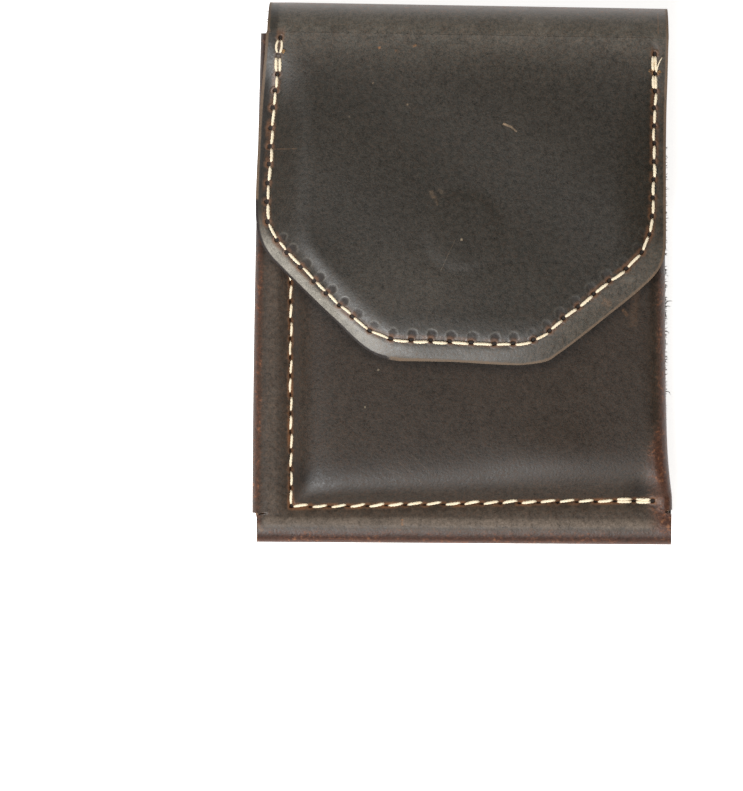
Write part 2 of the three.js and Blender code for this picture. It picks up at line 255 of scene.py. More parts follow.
# %% Distances from a seam
def measure_from(holes, x, y):
    """along and beside for arrays of points, from the nearest stitch of a seam."""
    place = np.stack([x, y], -1).reshape(-1, 1, 2)
    start, step = holes[:-1], np.diff(holes, axis=0)
    length = np.hypot(step[:, 0], step[:, 1])
    share = ((place - start) * step).sum(-1) / length**2
    lowest, highest = np.zeros(len(step)), np.ones(len(step))
    lowest[0], highest[-1] = -30, 30
    share = np.clip(share, lowest, highest)
    apart = place - start - share[..., None] * step
    nearest = np.hypot(apart[..., 0], apart[..., 1]).argmin(1)
    pick = np.arange(len(nearest))
    offset = apart[pick, nearest] + 1e-6 * (place - start)[pick, nearest]
    heading = step / length[:, None]
    ahead = np.where(share[pick, nearest] >= 1, np.minimum(nearest + 1, len(step) - 1), nearest)
    behind = np.where(share[pick, nearest] <= 0, np.maximum(nearest - 1, 0), nearest)
    line = heading[nearest] + heading[ahead] + heading[behind]
    beside = line[:, 0] * offset[:, 1] - line[:, 1] * offset[:, 0]
    gap = np.hypot(*apart[pick, nearest].T)
    beside = np.where(beside < 0, -gap, gap)
    return (nearest + share[pick, nearest]).reshape(x.shape), beside.reshape(x.shape)

# %% [markdown]
# ## Leather as a sheet
#
# Every piece of the pouch is one flat cut of leather, bent. So one maker's function serves them all:
# it takes a grid of points on the sheet's middle surface and gives it its thickness. It could also
# be done with Blender's Solidify modifier, but a function can leave out cells of the grid, such as
# cut corners, and it knows which faces are grain side, flesh side and cut edge. A small bevel then
# takes the sharpness off the cut edges, as an edge slicker does.

# %% The outward side of a grid
def neighbours_apart(points):
    """The step from the row before each row to the row after it."""
    apart = np.empty_like(points)
    apart[1:-1] = points[2:] - points[:-2]
    apart[0], apart[-1] = points[1] - points[0], points[-1] - points[-2]
    return apart

def outward(points):
    """Directions of length 1 that point out of the sheet's outer side."""
    down = neighbours_apart(points)
    right = neighbours_apart(points.swapaxes(0, 1)).swapaxes(0, 1)
    normal = np.cross(down, right)
    return normal / np.linalg.norm(normal, axis=-1, keepdims=True)

# %% Faces of a sheet
outer_side, cut_side, inner_side = 0, 1, 2

def sheet_faces(keep):
    """Corner numbers of the faces of all kept cells, and which side each face is on."""
    rows, columns = keep.shape[0] + 1, keep.shape[1] + 1
    under = rows * columns
    index = np.arange(under).reshape(rows, columns)
    a, b, c, d = index[:-1, :-1], index[1:, :-1], index[1:, 1:], index[:-1, 1:]
    padded = np.pad(keep, 1)
    faces = [np.stack([a, b, c, d], -1)[keep], np.stack([a, d, c, b], -1)[keep] + under]
    sides = [outer_side, inner_side]
    for first, second, near in (
        (a, b, padded[1:-1, :-2]), (b, c, padded[2:, 1:-1]),
        (c, d, padded[1:-1, 2:]), (d, a, padded[:-2, 1:-1]),
    ):
        edge = keep & ~near
        faces.append(np.stack([second, first, first + under, second + under], -1)[edge])
        sides.append(cut_side)
    kinds = np.concatenate([np.full(len(group), side) for group, side in zip(faces, sides)])
    return np.concatenate(faces), kinds

# %% Slick the cut edges
def slick_edges(piece, width):
    """Rounds the sheet's sharp edges and keeps the result as the piece's mesh."""
    slicker = piece.modifiers.new("slicked edge", "BEVEL")
    slicker.width, slicker.segments = width / 1000, 3
    slicker.limit_method, slicker.angle_limit = "ANGLE", math.radians(50)
    slicker.material, slicker.harden_normals = cut_side, True
    depsgraph = bpy.context.evaluated_depsgraph_get()
    piece.data = bpy.data.meshes.new_from_object(piece.evaluated_get(depsgraph))
    piece.data.name = piece.name
    piece.modifiers.clear()

# %% Make a sheet
def flat_size(points):
    """Width and height of the sheet when it is laid flat, measured along its longest lines."""
    steps = [np.linalg.norm(np.diff(points, axis=axis), axis=-1) for axis in (0, 1)]
    height, width = (lengths.sum(axis=axis).max() for axis, lengths in enumerate(steps))
    return f"laid flat the leather is {width:.0f} by {height:.0f} mm"

def leather_sheet(name, points, thickness, lift=0.0, keep=None, measures=None, rounded=0.35):
    """points[row, column] in bag millimetres: rows run down, columns right, seen from outside."""
    if keep is None:
        keep = np.ones((points.shape[0] - 1, points.shape[1] - 1), bool)
    normal = outward(points)
    both_sides = [points + normal * (lift + half) for half in (thickness / 2, -thickness / 2)]
    faces, kinds = sheet_faces(keep)
    used = np.unique(faces)
    corners = np.concatenate([side.reshape(-1, 3) for side in both_sides])
    renumber = np.zeros(len(corners), int)
    renumber[used] = np.arange(len(used))
    mesh = bpy.data.meshes.new(name)
    mesh.from_pydata(((corners[used] + shift) / 1000).tolist(), [], renumber[faces].tolist())
    mesh.polygons.foreach_set("material_index", kinds)
    mesh.polygons.foreach_set("use_smooth", np.ones(len(faces), bool))
    for title, values in (measures or {}).items():
        both = np.concatenate([values.ravel(), values.ravel()])[used]
        mesh.attributes.new(title, "FLOAT", "POINT").data.foreach_set("value", both)
    piece = put_in_scene(name, mesh)
    slick_edges(piece, rounded)
    print(f"{name}: {len(piece.data.polygons)} faces;", flat_size(points))
    return piece

def settle(piece, slot, *nodes):
    """Puts a finished piece on the pouch: it rides with it and stands for its solid nodes."""
    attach(piece, "root")
    if nodes:
        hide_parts(*nodes)

# %% Hand-made unevenness
def waves(x, y, length, seed):
    """A soft, seeded unevenness between about -1 and 1, with humps roughly a length apart."""
    dice = np.random.default_rng(seed)
    total = np.zeros(np.shape(x))
    for _ in range(7):
        angle, phase = dice.uniform(0, 2 * math.pi, 2)
        reach = length * dice.uniform(0.7, 1.6)
        along = x * math.cos(angle) + y * math.sin(angle)
        total = total + np.sin(2 * math.pi * along / reach + phase)
    return total / 3.2

# %% [markdown]
# ## The bag
#
# The bag is one sheet. Followed round it, it starts as a margin behind the left edge, rolls over that
# edge, is sewn down, climbs to the bag's full depth, crosses the front, folds over at the right and
# comes back as the inner back. Followed down it, it leaves the mouth, reaches the bottom seam, rolls
# over the bottom edge and ends as a margin behind it. Both corners below are cut out, so that the
# rolls don't run into each other.
#
# A cushion-like shape such as this is often left to a cloth simulation. Oiled leather two millimetres
# thick hardly drapes, though, so the sheet is drawn directly from its sections, and then pressed and
# pinched where the real one is.

# %% Grid lines of the bag
def grid_lines(parts):
    lines = [(part, step / steps) for part, steps in parts for step in range(steps)]
    return lines + [(parts[-1][0], 1.0)]

around_bag = [
    ("margin", 5), ("roll", 18), ("flange", 12), ("slope", 18),
    ("front", 66), ("fold", 18), ("inner back", 10),
]
down_bag = [("front", 100), ("slope", 18), ("flange", 12), ("roll", 20), ("margin", 5)]

def below_cut(line):
    part, share = line
    return part in ("roll", "margin") or (part == "flange" and share > cut_share)

def line_y(line, x):
    part, share = line
    crown = bottom_y(x) + bottom_roll
    reach = bottom_roll - bag_leather / 2
    slope_top = bottom_seam_y(x) + seam_to_slope
    if part == "front":
        return mix(mouth_y(x), slope_top, share)
    if part == "slope":
        return mix(slope_top, bottom_seam_y(x), share)
    if part == "flange":
        return mix(bottom_seam_y(x), crown, share)
    if part == "roll":
        return crown - reach * math.sin(math.pi * share)
    return mix(crown, crown + turned_margin, share)

def bag_point(around, down):
    is_front = down[0] in ("front", "slope", "flange")
    crown_line = ("roll", 0.0)
    height = line_y(down if is_front else crown_line, 0.0)
    cut = below_cut(down)
    crown_x = left_edge_x(height) + (roll_start_inset if cut else left_roll)
    fold_top = front_level(bag_width / 2, height, worn=True)
    fold_radius = (fold_top - inner_back_level) / 2
    fold_x = right_edge_x(height) - (roll_end_inset if cut else fold_radius + bag_leather / 2)
    part, share = around
    x = {
        "margin": mix(crown_x + turned_margin, crown_x, share),
        "roll": crown_x - (left_roll - bag_leather / 2) * math.sin(math.pi * share),
        "flange": mix(crown_x, seam_x, share),
        "slope": mix(seam_x, seam_x + seam_to_slope, share),
        "front": mix(seam_x + seam_to_slope, fold_x, share),
        "fold": fold_x + fold_radius * math.sin(math.pi * share),
        "inner back": mix(fold_x, crown_x, share),
    }[part]
    y = line_y(down, x)
    z = front_level(x, y if is_front else line_y(crown_line, x), worn=True)
    if part == "margin":
        z = margin_level
    if part == "roll":
        z = half_turn(margin_level, front_level(crown_x, height, worn=True), share)
    if part == "fold":
        z = half_turn(fold_top, inner_back_level, share)
    if part == "inner back":
        z = inner_back_level
    if down[0] == "roll":
        z = half_turn(z, margin_level, down[1])
    if down[0] == "margin":
        z = margin_level
    return x, y, z

bag_columns, bag_rows = grid_lines(around_bag), grid_lines(down_bag)
bag_points = np.array([[bag_point(around, down) for around in bag_columns] for down in bag_rows])
print("The bag's grid:", bag_points.shape[0], "rows by", bag_points.shape[1], "columns")

# %% [markdown]
# The thread draws the leather in along the seam, more at the holes than between them. Past the seam's
# right end nothing holds the fold shut, and there it is pinched into small wrinkles by every hand
# that has reached in. These dips are pressed into the grid before it gets its thickness.

# %% How a seam draws the leather in
def sewn_share(holes, along, past=0.5, fade=4):
    """1 along a seam's stitches and 0 a little past its two ends."""
    return smooth((along + past) * fade) * smooth((len(holes) - 1 + past - along) * fade)

def seam_dip(along, beside, depth, width, pitch):
    """A groove as deep as the thread pulls it, deepest at the holes."""
    near_hole = np.abs(along - np.round(along)) * pitch
    return depth * hump(beside, width) * (0.7 + 0.3 * hump(near_hole, 1.8))

# %% Press the seams and wrinkles into the bag
column_parts = np.array([part for part, _ in bag_columns])
row_parts = np.array([part for part, _ in bag_rows])
on_front = np.isin(column_parts, ("flange", "slope", "front"))[None, :] & np.isin(
    row_parts, ("front", "slope", "flange"))[:, None]
bag_x, bag_y = bag_points[..., 0], bag_points[..., 1]
along_bag, beside_bag = measure_from(bag_holes, bag_x, bag_y)
sewn = sewn_share(bag_holes, along_bag)
dip = seam_dip(along_bag, beside_bag, 0.34, 1.5, bottom_pitch) * sewn
uneven = 0.12 * waves(bag_x, bag_y, 34, 5) * smooth(beside_bag / 9)
pinch_x, pinch_y, wrinkle_x, wrinkle_y = 47.5, 14.2, 53.2, 15.2
right_pinch = hump(np.hypot((bag_x - pinch_x) / 1.6, bag_y - pinch_y), 2.8)
across_wrinkle = (bag_x - wrinkle_x) * 0.72 + (bag_y - wrinkle_y) * 0.7
wrinkle = hump(across_wrinkle, 1.0) * hump(np.hypot(bag_x - wrinkle_x, bag_y - wrinkle_y), 5)
right_swell = 0.5 * hump((bag_x - 26) / 22, 1) * hump((bag_y - 22) / 10, 1)
pressed = -dip + uneven - 0.3 * right_pinch + 0.25 * wrinkle + right_swell
bag_points[..., 2] += np.where(on_front, pressed, 0.0)
print("The front stands up to", round(float(bag_points[..., 2].max()), 1), "mm above the table")

# %% [markdown]
# Hands work the lower right corner soft: its folds lose their sharp turns. So the heights there are
# averaged with their neighbours a few times over, as rubbing does. A smoothing brush would do the
# same by eye, but this way it happens again on every run.

# %% Work the lower right corner soft
rubbing_rounds = 14
worn_corner = smooth((bag_x - 46) / 4) * smooth((24 - bag_y) / 5) * smooth((bag_y - 7.5) / 2) * on_front
for _ in range(rubbing_rounds):
    level = bag_points[..., 2]
    up_and_down = np.roll(level, 1, 0) + np.roll(level, -1, 0)
    beside_level = (up_and_down + np.roll(level, 1, 1) + np.roll(level, -1, 1)) / 4
    bag_points[..., 2] = mix(level, beside_level, 0.7 * worn_corner)

# %% [markdown]
# ## The flap's outline
#
# The flap lies on the bag and keeps the leather round it in shade, so its outline is needed before
# the bag is finished. It could be drawn as a curve object, but a table is easier to measure: each of
# its rows says where the flap starts and ends, as shares of the flap's length and of half its width.
# A smooth curve through the rows rounds the corners as a knife does.

# %% The flap's outline
flap_outline = np.array([
    # left down, left out, right down, right out
    (0.0, 0.955, 0.0, 0.999), (0.01, 0.96, 0.01, 0.998), (0.11, 0.968, 0.11, 0.992),
    (0.22, 0.978, 0.22, 0.984), (0.32, 0.986, 0.33, 0.981), (0.42, 0.994, 0.43, 0.981),
    (0.51, 0.999, 0.52, 0.981), (0.58, 0.995, 0.6, 0.981), (0.628, 0.975, 0.647, 0.976),
    (0.662, 0.942, 0.682, 0.957), (0.697, 0.891, 0.72, 0.912), (0.755, 0.795, 0.774, 0.816),
    (0.814, 0.699, 0.823, 0.719), (0.873, 0.602, 0.873, 0.621), (0.922, 0.522, 0.922, 0.524),
    (0.951, 0.462, 0.953, 0.459), (0.968, 0.402, 0.974, 0.406), (0.976, 0.308, 0.988, 0.278),
])

def through(table, place):
    """A smooth curve through the rows of a table, at a place between 0 and its last row."""
    row = min(int(place), len(table) - 2)
    share = place - row
    before, after = table[max(row - 1, 0)], table[min(row + 2, len(table) - 1)]
    start, end = table[row], table[row + 1]
    leave, arrive = (end - before) / 2, (after - start) / 2
    return (
        start * (2 * share**3 - 3 * share**2 + 1) + leave * (share**3 - 2 * share**2 + share)
        + end * (3 * share**2 - 2 * share**3) + arrive * (share**3 - share**2)
    )

def flap_ends(course):
    left_down, left_out, right_down, right_out = course
    left_x = flap_offset - flap_width / 2 * left_out
    right_x = flap_offset + flap_width / 2 * right_out
    left_y = mouth_y(left_x) - flap_length * left_down
    right_y = mouth_y(right_x) - flap_length * right_down
    return (left_x, left_y), (right_x, right_y)

course_places = np.concatenate([
    np.linspace(0, 8, 64, endpoint=False),
    np.linspace(8, 14, 44, endpoint=False),
    np.linspace(14, 17, 13),
])
all_ends = [flap_ends(through(flap_outline, place)) for place in course_places]
flap_ring = np.array([left for left, _ in all_ends] + [right for _, right in all_ends[::-1]])
print("The flap's tip lies", round(float(flap_ring[:, 1].min()), 1), "mm above the bag's bottom edge")

# %% [markdown]
# ## Wear, painted highlights and painted shade of the bag
#
# Three measures tint each place of the leather. The first is how much of the dark wax has been rubbed
# off. The second is how far a bend has made the leather paler, together with painted highlights on the
# crowns, margins and fold that catch the softbox, and painted light on the strip left of the flap's top,
# which the flap shades. The third is painted shade: under the flap's edge, in the pinch at the lower
# right, beside the seam, in the front's lower left and on the steep side of the bottom roll. Painting
# them by hand would be quick, but they follow from how far a place lies from an edge, a seam or the flap,
# and then they stay right when a size changes.

# %% Rubbed places of the bag
to_left_edge = bag_x - left_edge_x(bag_y)
to_bottom_edge = bag_y - bottom_y(bag_x)
to_right_edge = right_edge_x(bag_y) - bag_x
outside_seam = smooth(-beside_bag) * (beside_bag < 0)
rub_left = mix(0.6, 0.95, smooth((bag_y - 70) / 30)) * (1 - smooth((to_left_edge - 1.8) / 1.6))
rub_bottom = 0.85 - 0.85 * smooth((to_bottom_edge - 1.3) / 4.0)
low_right = smooth((34 - bag_y) / 14)
rub_right = 1.0 - smooth((to_right_edge - 1.3) / mix(2.6, 8.0, low_right))
rub_corner = 0.75 * hump(np.hypot((bag_x - 52.5) / 5.5, (bag_y - 10.0) / 13.0), 1.0)
rub = np.maximum.reduce([rub_left, rub_bottom, 0.85 * rub_right, rub_corner])

# %% Pulled places with painted highlights, and painted shade, of the bag
# Paling and painted highlight: the crests of the left and bottom rolls, the margins outside the seam and the
# right fold are painted lighter where they catch the softbox, and the strip left of the flap's top gets painted
# light against the flap's shade.
outside_pale_and_lit = mix(0.34, 0.2, smooth((bag_y - 9) / 3)) * outside_seam
pull_and_highlight = np.maximum.reduce([
    0.4 * band(to_left_edge, 2.6, 1.6, 5.8, 1.5) * (beside_bag < 0),
    outside_pale_and_lit,
    1.05 * band(to_bottom_edge, 3.4, 1.4, 5.8, 1.8) * smooth((to_left_edge - 1) / 3),
    0.5 * smooth((bag_y - 85) / 12) * (1 - smooth((to_left_edge - 3) / 1.5)),
    0.52 * rub_right * smooth((90 - bag_y) / 10),
])
_, beside_flap = measure_from(flap_ring, bag_x, bag_y)
# Painted shade: under the flap's edge, in the pinch at the lower right, just outside the seam, in the front's
# lower left and on the steep lower side of the bottom roll.
painted_shade = np.maximum.reduce([
    right_pinch,
    0.1 * hump(beside_bag + 1.7, 1.3) * (beside_bag < 0),
    hump(np.minimum(beside_flap + 0.3, 0), 2.6),
    0.85 * hump(np.hypot((bag_x + 40) / 11, (bag_y - 17) / 5), 1.0) * (beside_bag > 0),
    0.75 * hump(to_bottom_edge - 2.1, 1.0),
])
print("Most rubbed:", round(float(rub.max()), 2), "most pulled:", round(float(pull_and_highlight.max()), 2))

# %% The bag's sheet
left_margin_end = bottom_roll + turned_margin + rest_gap
bottom_margin_start = left_edge_x(0.0) + left_roll + rest_gap
bag_keep = np.ones((len(bag_rows) - 1, len(bag_columns) - 1), bool)
for row in range(len(bag_rows) - 1):
    for column in range(len(bag_columns) - 1):
        part = column_parts[column]
        if part in ("margin", "roll", "fold", "inner back") and below_cut(bag_rows[row + 1]):
            bag_keep[row, column] = False
        elif part == "margin":
            bag_keep[row, column] = bag_points[row + 1, column, 1] > left_margin_end
        elif row_parts[row] == "margin":
            bag_keep[row, column] = bag_points[row, column, 0] > bottom_margin_start

dent = 0.35 * smooth((along_bag - left_stitches) * 2) * sewn
bag_measures = {
    "along": along_bag, "beside": beside_bag, "sewn": sewn, "dent": dent,
    "rub": rub, "pull_and_highlight": pull_and_highlight, "painted_shade": painted_shade,
}
bag = leather_sheet("bag", bag_points, bag_leather, keep=bag_keep, measures=bag_measures)
settle(bag, "bag_leather", "bag_body")

# %% [markdown]
# ## The back and the flap
#
# One long piece of leather starts behind the bag's bottom, runs up the back, turns over at the top and
# comes down the front as the flap. Its grid has one row for each level: up the back, round the top
# fold and down the flap. The flap's rows end on the outline that was drawn above. Over the bag's low
# places the flap sags a little towards them.

# %% How the flap hangs
def droop(x, y, distances):
    """How far the flap hangs down: close over the bag where that is low."""
    flat = 1.0
    for distance in distances:
        flat = flat * (1 - clamp(1 - distance / droop_reach) ** 2)
    bag_top = front_level(np.minimum(x, bag_width / 2), y) + bag_leather / 2
    room = lining_level - lining_leather / 2 - rest_gap - bag_top
    return droop_share * room * (1 - flat) * smooth((mouth_y(x) - y) / droop_start)

# %% Rows of the long piece
def spread(count, crowding):
    """Places from 0 to 1 that lie closer together near both ends."""
    even = np.linspace(0, 1, count)
    return mix(even, (1 - np.cos(math.pi * even)) / 2, crowding)

across = spread(112, 0.55)
back_shares = np.linspace(0, 1, 150, endpoint=False)
fold_shares = np.linspace(0, 1, 29)[:-1]

def row_between(left, right, level_at):
    x, y = mix(left[0], right[0], across), mix(left[1], right[1], across)
    return np.stack([x, y, level_at(x, y) * np.ones_like(x)], -1)

def flap_row(place, inset=0.0):
    left, right = flap_ends(through(flap_outline, place))
    width = right[0] - left[0]
    left, right = (left[0] + inset, left[1]), (right[0] - inset, right[1])
    return row_between(left, right, lambda x, y: flap_level - droop(
        x, y, (across * width, (1 - across) * width, y - (mouth_y(x) - flap_length))))

back_left, back_right = left_edge_x(bag_height) + back_inset, bag_width / 2 + back_overhang
top_left, top_right = flap_ends(flap_outline[0])
long_rows = []
for share in back_shares:
    sides = back_left, back_right
    ends = [(x, mix(bottom_y(x) + back_bottom_inset, mouth_y(x), share)) for x in sides]
    long_rows.append(row_between(*ends, lambda x, y: back_level))
for share in fold_shares:
    reach = (fold_reach - flap_leather / 2) * math.sin(math.pi * share)
    sides = mix(back_left, top_left[0], share), mix(back_right, top_right[0], share)
    ends = [(x, mouth_y(x) + reach) for x in sides]
    long_rows.append(row_between(*ends, lambda x, y: half_turn(back_level, flap_level, share)))
long_rows += [flap_row(place) for place in course_places]
long_points = np.array(long_rows)
back_count, fold_count = len(back_shares), len(fold_shares)
print("The long piece's grid:", long_points.shape[0], "rows by", long_points.shape[1], "columns")

# %% [markdown]
# The flap's own seam draws its border in, and outside it the border curls down a little. Over the
# clasp the leather shows a flat round rise: the disc has pressed through from beneath for years. The
# raw right edge of the back was never slicked, so it is left a little ragged.

# %% Press the flap
long_x, long_y = long_points[..., 0], long_points[..., 1]
row_number = np.arange(len(long_points))[:, None] * np.ones(long_points.shape[1])
is_flap = row_number >= back_count + fold_count * 0.6
is_back = row_number < back_count
along_flap, beside_flap = measure_from(flap_holes, long_x, long_y)
along_back, beside_back = measure_from(bag_holes, long_x, long_y)
along_long = np.where(is_back, along_back + 100, along_flap)
beside_long = np.where(is_back, beside_back, beside_flap)

calm_hole = 1 - 0.75 * hump(along_flap - 1, 0.5)
flap_sewn = sewn_share(flap_holes, along_flap, 0.6, 3) * calm_hole
dip = seam_dip(along_flap, beside_flap, 0.32, 1.4, 5) * flap_sewn
to_clasp = np.hypot(long_x, long_y - (mouth_y(0) - flap_length + clasp_inset))
rise_radius, rise_slope, ring_radius = 7.8, 3.4, 11.5
on_clasp = 1 - smooth((to_clasp - rise_radius) / rise_slope)
clasp_rise = 0.1 * on_clasp - 0.04 * hump(to_clasp - ring_radius, 3)
uneven = 0.2 * waves(long_x, long_y, 40, 11) * smooth(beside_flap / 10)
long_points[..., 2] += np.where(is_flap, clasp_rise + uneven - dip, 0.0)
back_sewn = sewn_share(bag_holes, along_back)
long_points[..., 2] += np.where(is_back, 0.3 * hump(beside_back, 1.4) * back_sewn, 0.0)

ragged = 0.16 * waves(long_y, long_y * 0.3, 1.1, 21) + 0.12 * waves(long_y, long_y * 0.2, 4.0, 22)
at_right = hump((1 - across) * flap_width, 1.2)[None, :] * np.ones_like(long_x)
long_points[..., 0] += np.where(is_back, ragged * at_right, 0.0)

# %% Rubbed places, pulled places with painted highlights, and painted shade of the long piece
to_edge = np.minimum(across, 1 - across)[None, :] * np.ptp(long_x, axis=1)[:, None]
down_fold = np.clip((row_number - back_count) / fold_count, 0, 1)
fold_top = hump((down_fold - 0.5) * 2, 0.75) * (row_number >= back_count)
outside_seam = smooth((-beside_flap - 0.4) / 1.2) * is_flap
# Paling and painted highlight on the flap's drooping border outside its seam, strongest on its slopes.
pale_and_lit_slopes = band(along_flap, 9.4, 2.0, 33, 2.5) * (1 - 0.85 * smooth((along_flap - 17.5) / 2))
pale_and_lit_slopes = pale_and_lit_slopes * (1 + 0.6 * smooth((along_flap - 25) / 4))
# Two painted highlights where the flap's lower middle catches the softbox.
low_painted_highlight = 0.05 * hump(np.hypot((long_x + 9) / 1.6, long_y - 65), 9)
left_painted_highlight = 0.045 * hump(np.hypot(long_x + 20, long_y - 68), 16)
below_fold = mouth_y(long_x) - long_y
pull_and_highlight = np.maximum.reduce([
    outside_seam * pale_and_lit_slopes,
    outside_seam * 0.12 * smooth((along_flap - 33) / 2),
    # Paling where the leather bends over the fold, with a painted reflection of the room on it.
    0.42 * hump((below_fold + 6) / 15, 1.0) * is_flap,
    (low_painted_highlight + left_painted_highlight) * is_flap,
])
rub = np.maximum(0.8 * fold_top, 0.5 * (1 - smooth((to_edge - 0.2) / 1.0)))
# Painted shade on the flap's upper left border, outside its seam.
painted_shade = 0.9 * outside_seam * smooth((9.5 - along_flap) / 1.5)

# %% [markdown]
# The raw edge of the flap shows as a fine line, painted into the grain's colour with its light and
# shade: tan as painted light where it faces the softbox, and painted shade at the lower left, where it
# faces away. One measure, `edge`, holds both: more than nothing where the line is painted tan, less
# where it is painted dark.

# %% The flap's raw edge and its dents
_, inside_outline = measure_from(flap_ring, long_x, long_y)
near_outline = np.minimum(np.abs(inside_outline), to_edge)
inside_outline = np.where(is_flap & (below_fold > 0), near_outline, to_edge)
edge = smooth((0.75 - inside_outline) / 0.4) * (down_fold > 0.3)
# At the lower left the edge line gets painted shade instead of its painted tan light.
edge = np.where((long_x < -19) & (below_fold > 44), -edge, edge)
long_sewn = np.where(is_back, back_sewn, flap_sewn * is_flap)
dent = smooth((along_flap - 10.4) * 2) * smooth((34.5 - along_flap) * 2) * is_flap
dent = dent * (1 - 0.5 * smooth((along_flap - 24) / 3))
long_measures = {
    "along": along_long, "beside": beside_long, "sewn": long_sewn, "dent": dent,
    "rub": rub, "pull_and_highlight": pull_and_highlight, "painted_shade": painted_shade, "edge": edge,
}
flap = leather_sheet("back_and_flap", long_points, flap_leather, measures=long_measures, rounded=0.5)
settle(flap, "flap_leather", "back_flap")

# %% [markdown]
# ## The lining
#
# Under the flap lies a thinner leather of the same outline, a hair smaller, held by the flap's seam.
# It follows the flap row by row, so that the two cut edges show as one stack.

# %% The lining's sheet
lining_places = np.concatenate([[1.0], course_places[12:]])
lining_rows = np.array([flap_row(place, lining_inset) for place in lining_places])
lining_lift = -(flap_leather + lining_leather) / 2 - sewn_gap
lining = leather_sheet("lining", lining_rows[::2, ::2], lining_leather, lining_lift, rounded=0.2)
settle(lining, "lining_leather", "flap_lining")

# %% [markdown]
# ## The belt loop
#
# A plain strap on the back, sewn flat at both ends, with room for a belt behind it. It is hidden in
# this picture, but the pouch lies on it, and it shows from the side.

# %% The loop's sheet
tab_level = back_level - flap_leather / 2 - sewn_gap - loop_leather / 2
flat_level = loop_leather / 2
loop_middle = mouth_y(0) - loop_drop
ramp_end = belt_width / 2 + loop_ramp

def loop_profile():
    """The strap's side view from its upper to its lower end, as y and z."""
    line = [(ramp_end + loop_tab * (1 - share), tab_level) for share in np.linspace(0, 1, 9)[:-1]]
    for t in np.linspace(0, 1, 17)[:-1]:
        down_ramp = 1.5 * t - 1.5 * t**2 + t**3
        line.append((ramp_end - loop_ramp * down_ramp, mix(tab_level, flat_level, smooth(t))))
    line += [(belt_width * (0.5 - share), flat_level) for share in np.linspace(0, 0.5, 12)[:-1]]
    return line + [(-y, z) for y, z in reversed(line)]

side_view = loop_profile()
loop_x = np.linspace(loop_width / 2, -loop_width / 2, 40)
loop_points = np.array([[(x, loop_middle + y, z) for x in loop_x] for y, z in side_view])
row_half, tab_stitches = 22.0, 9
tab_holes_x = np.linspace(-row_half, row_half, tab_stitches + 1)
from_middle = np.abs(loop_points[..., 1] - loop_middle) - ramp_end - loop_tab / 2
loop_along = (loop_points[..., 0] + row_half) / (2 * row_half / tab_stitches) + 100
loop_sewn = (np.abs(loop_points[..., 0]) < row_half + 1).astype(float)
loop_measures = {"along": loop_along, "beside": from_middle, "sewn": loop_sewn}
loop = leather_sheet("belt_strap", loop_points, loop_leather, measures=loop_measures)
settle(loop, "loop_leather", "belt_loop")

# %% [markdown]
# ## Sewing
#
# Seen close up, hand sewing is a row of short fat strands. Each one comes up out of a hole, lies in
# the groove that its own pull has pressed, and goes down at the next hole, so a dark hole shows
# between every two. A bevelled curve could carry the thread, but waxed linen is laid from three
# plies, and the light catches their turns. So each strand is a tube whose section has three lobes
# that turn along its length. A ray cast from above finds the leather that it lies on.

# %% Find the leather under the thread
def surface_of(piece, side=1):
    """A function that gives the height, in millimetres, of a piece's upper or lower face."""
    mesh = piece.data
    points = [vertex.co.copy() for vertex in mesh.vertices]
    tree = BVHTree.FromPolygons(points, [tuple(face.vertices) for face in mesh.polygons])

    def level(x, y):
        hit = tree.ray_cast(Vector((x / 1000, y / 1000, 0.2 * side)), Vector((0, 0, -side)))
        return hit[0].z * 1000 if hit[0] else None
    return level

# %% Lay a strand
thread_radius, small_loop_radius, left_row_radius, doubled_radius = 0.41, 0.36, 0.36, 0.42
thread_lay, thread_flatness = 2.4, 0.85

def strand(path, radii, sides=12, lobes=0.12, turn=0.0):
    """Corners and faces of one laid strand along a path, in millimetres, closed at both ends."""
    path, radii = np.array(path, float), np.array(radii, float)
    ahead = np.gradient(path, axis=0)
    ahead /= np.linalg.norm(ahead, axis=1, keepdims=True)
    sideways = np.cross(ahead, (0.0, 0.0, 1.0))
    sideways /= np.maximum(np.linalg.norm(sideways, axis=1, keepdims=True), 1e-6)
    upward = np.cross(sideways, ahead)
    gone = np.concatenate([[0], np.cumsum(np.linalg.norm(np.diff(path, axis=0), axis=1))])
    angle = np.linspace(0, 2 * math.pi, sides, endpoint=False)
    swell = 1 + lobes * np.cos(3 * (angle[None, :] - 2 * math.pi * gone[:, None] / thread_lay - turn))
    reach = radii[:, None] * swell
    ring = sideways[:, None] * (np.cos(angle)[None, :] * reach)[..., None]
    ring = ring + upward[:, None] * (np.sin(angle)[None, :] * reach * thread_flatness)[..., None]
    corners = (path[:, None] + ring).reshape(-1, 3)
    faces = []
    for step in range(len(path) - 1):
        for side in range(sides):
            a, b = step * sides + side, step * sides + (side + 1) % sides
            faces.append((a, b, b + sides, a + sides))
    faces.append(tuple(range(sides))[::-1])
    faces.append(tuple(range(len(corners) - sides, len(corners))))
    return corners, faces

def join_strands(name, strands):
    corners, faces, count = [], [], 0
    for points, polygons in strands:
        corners.append(points)
        faces += [tuple(index + count for index in polygon) for polygon in polygons]
        count += len(points)
    mesh = bpy.data.meshes.new(name)
    mesh.from_pydata((np.concatenate(corners) / 1000).tolist(), [], faces)
    mesh.polygons.foreach_set("use_smooth", np.ones(len(faces), bool))
    piece = put_in_scene(name, mesh)
    print(f"{name}: {len(strands)} strands, {len(faces)} faces")
    return piece

# %% Lay a stitch between two holes
middle_wander, end_wander, thickness_spread, fuzz = 0.22, 0.16, 0.08, 0.05
below_hole, resting_share, rise_start, rise_run = -1.1, 0.62, 0.28, 0.8

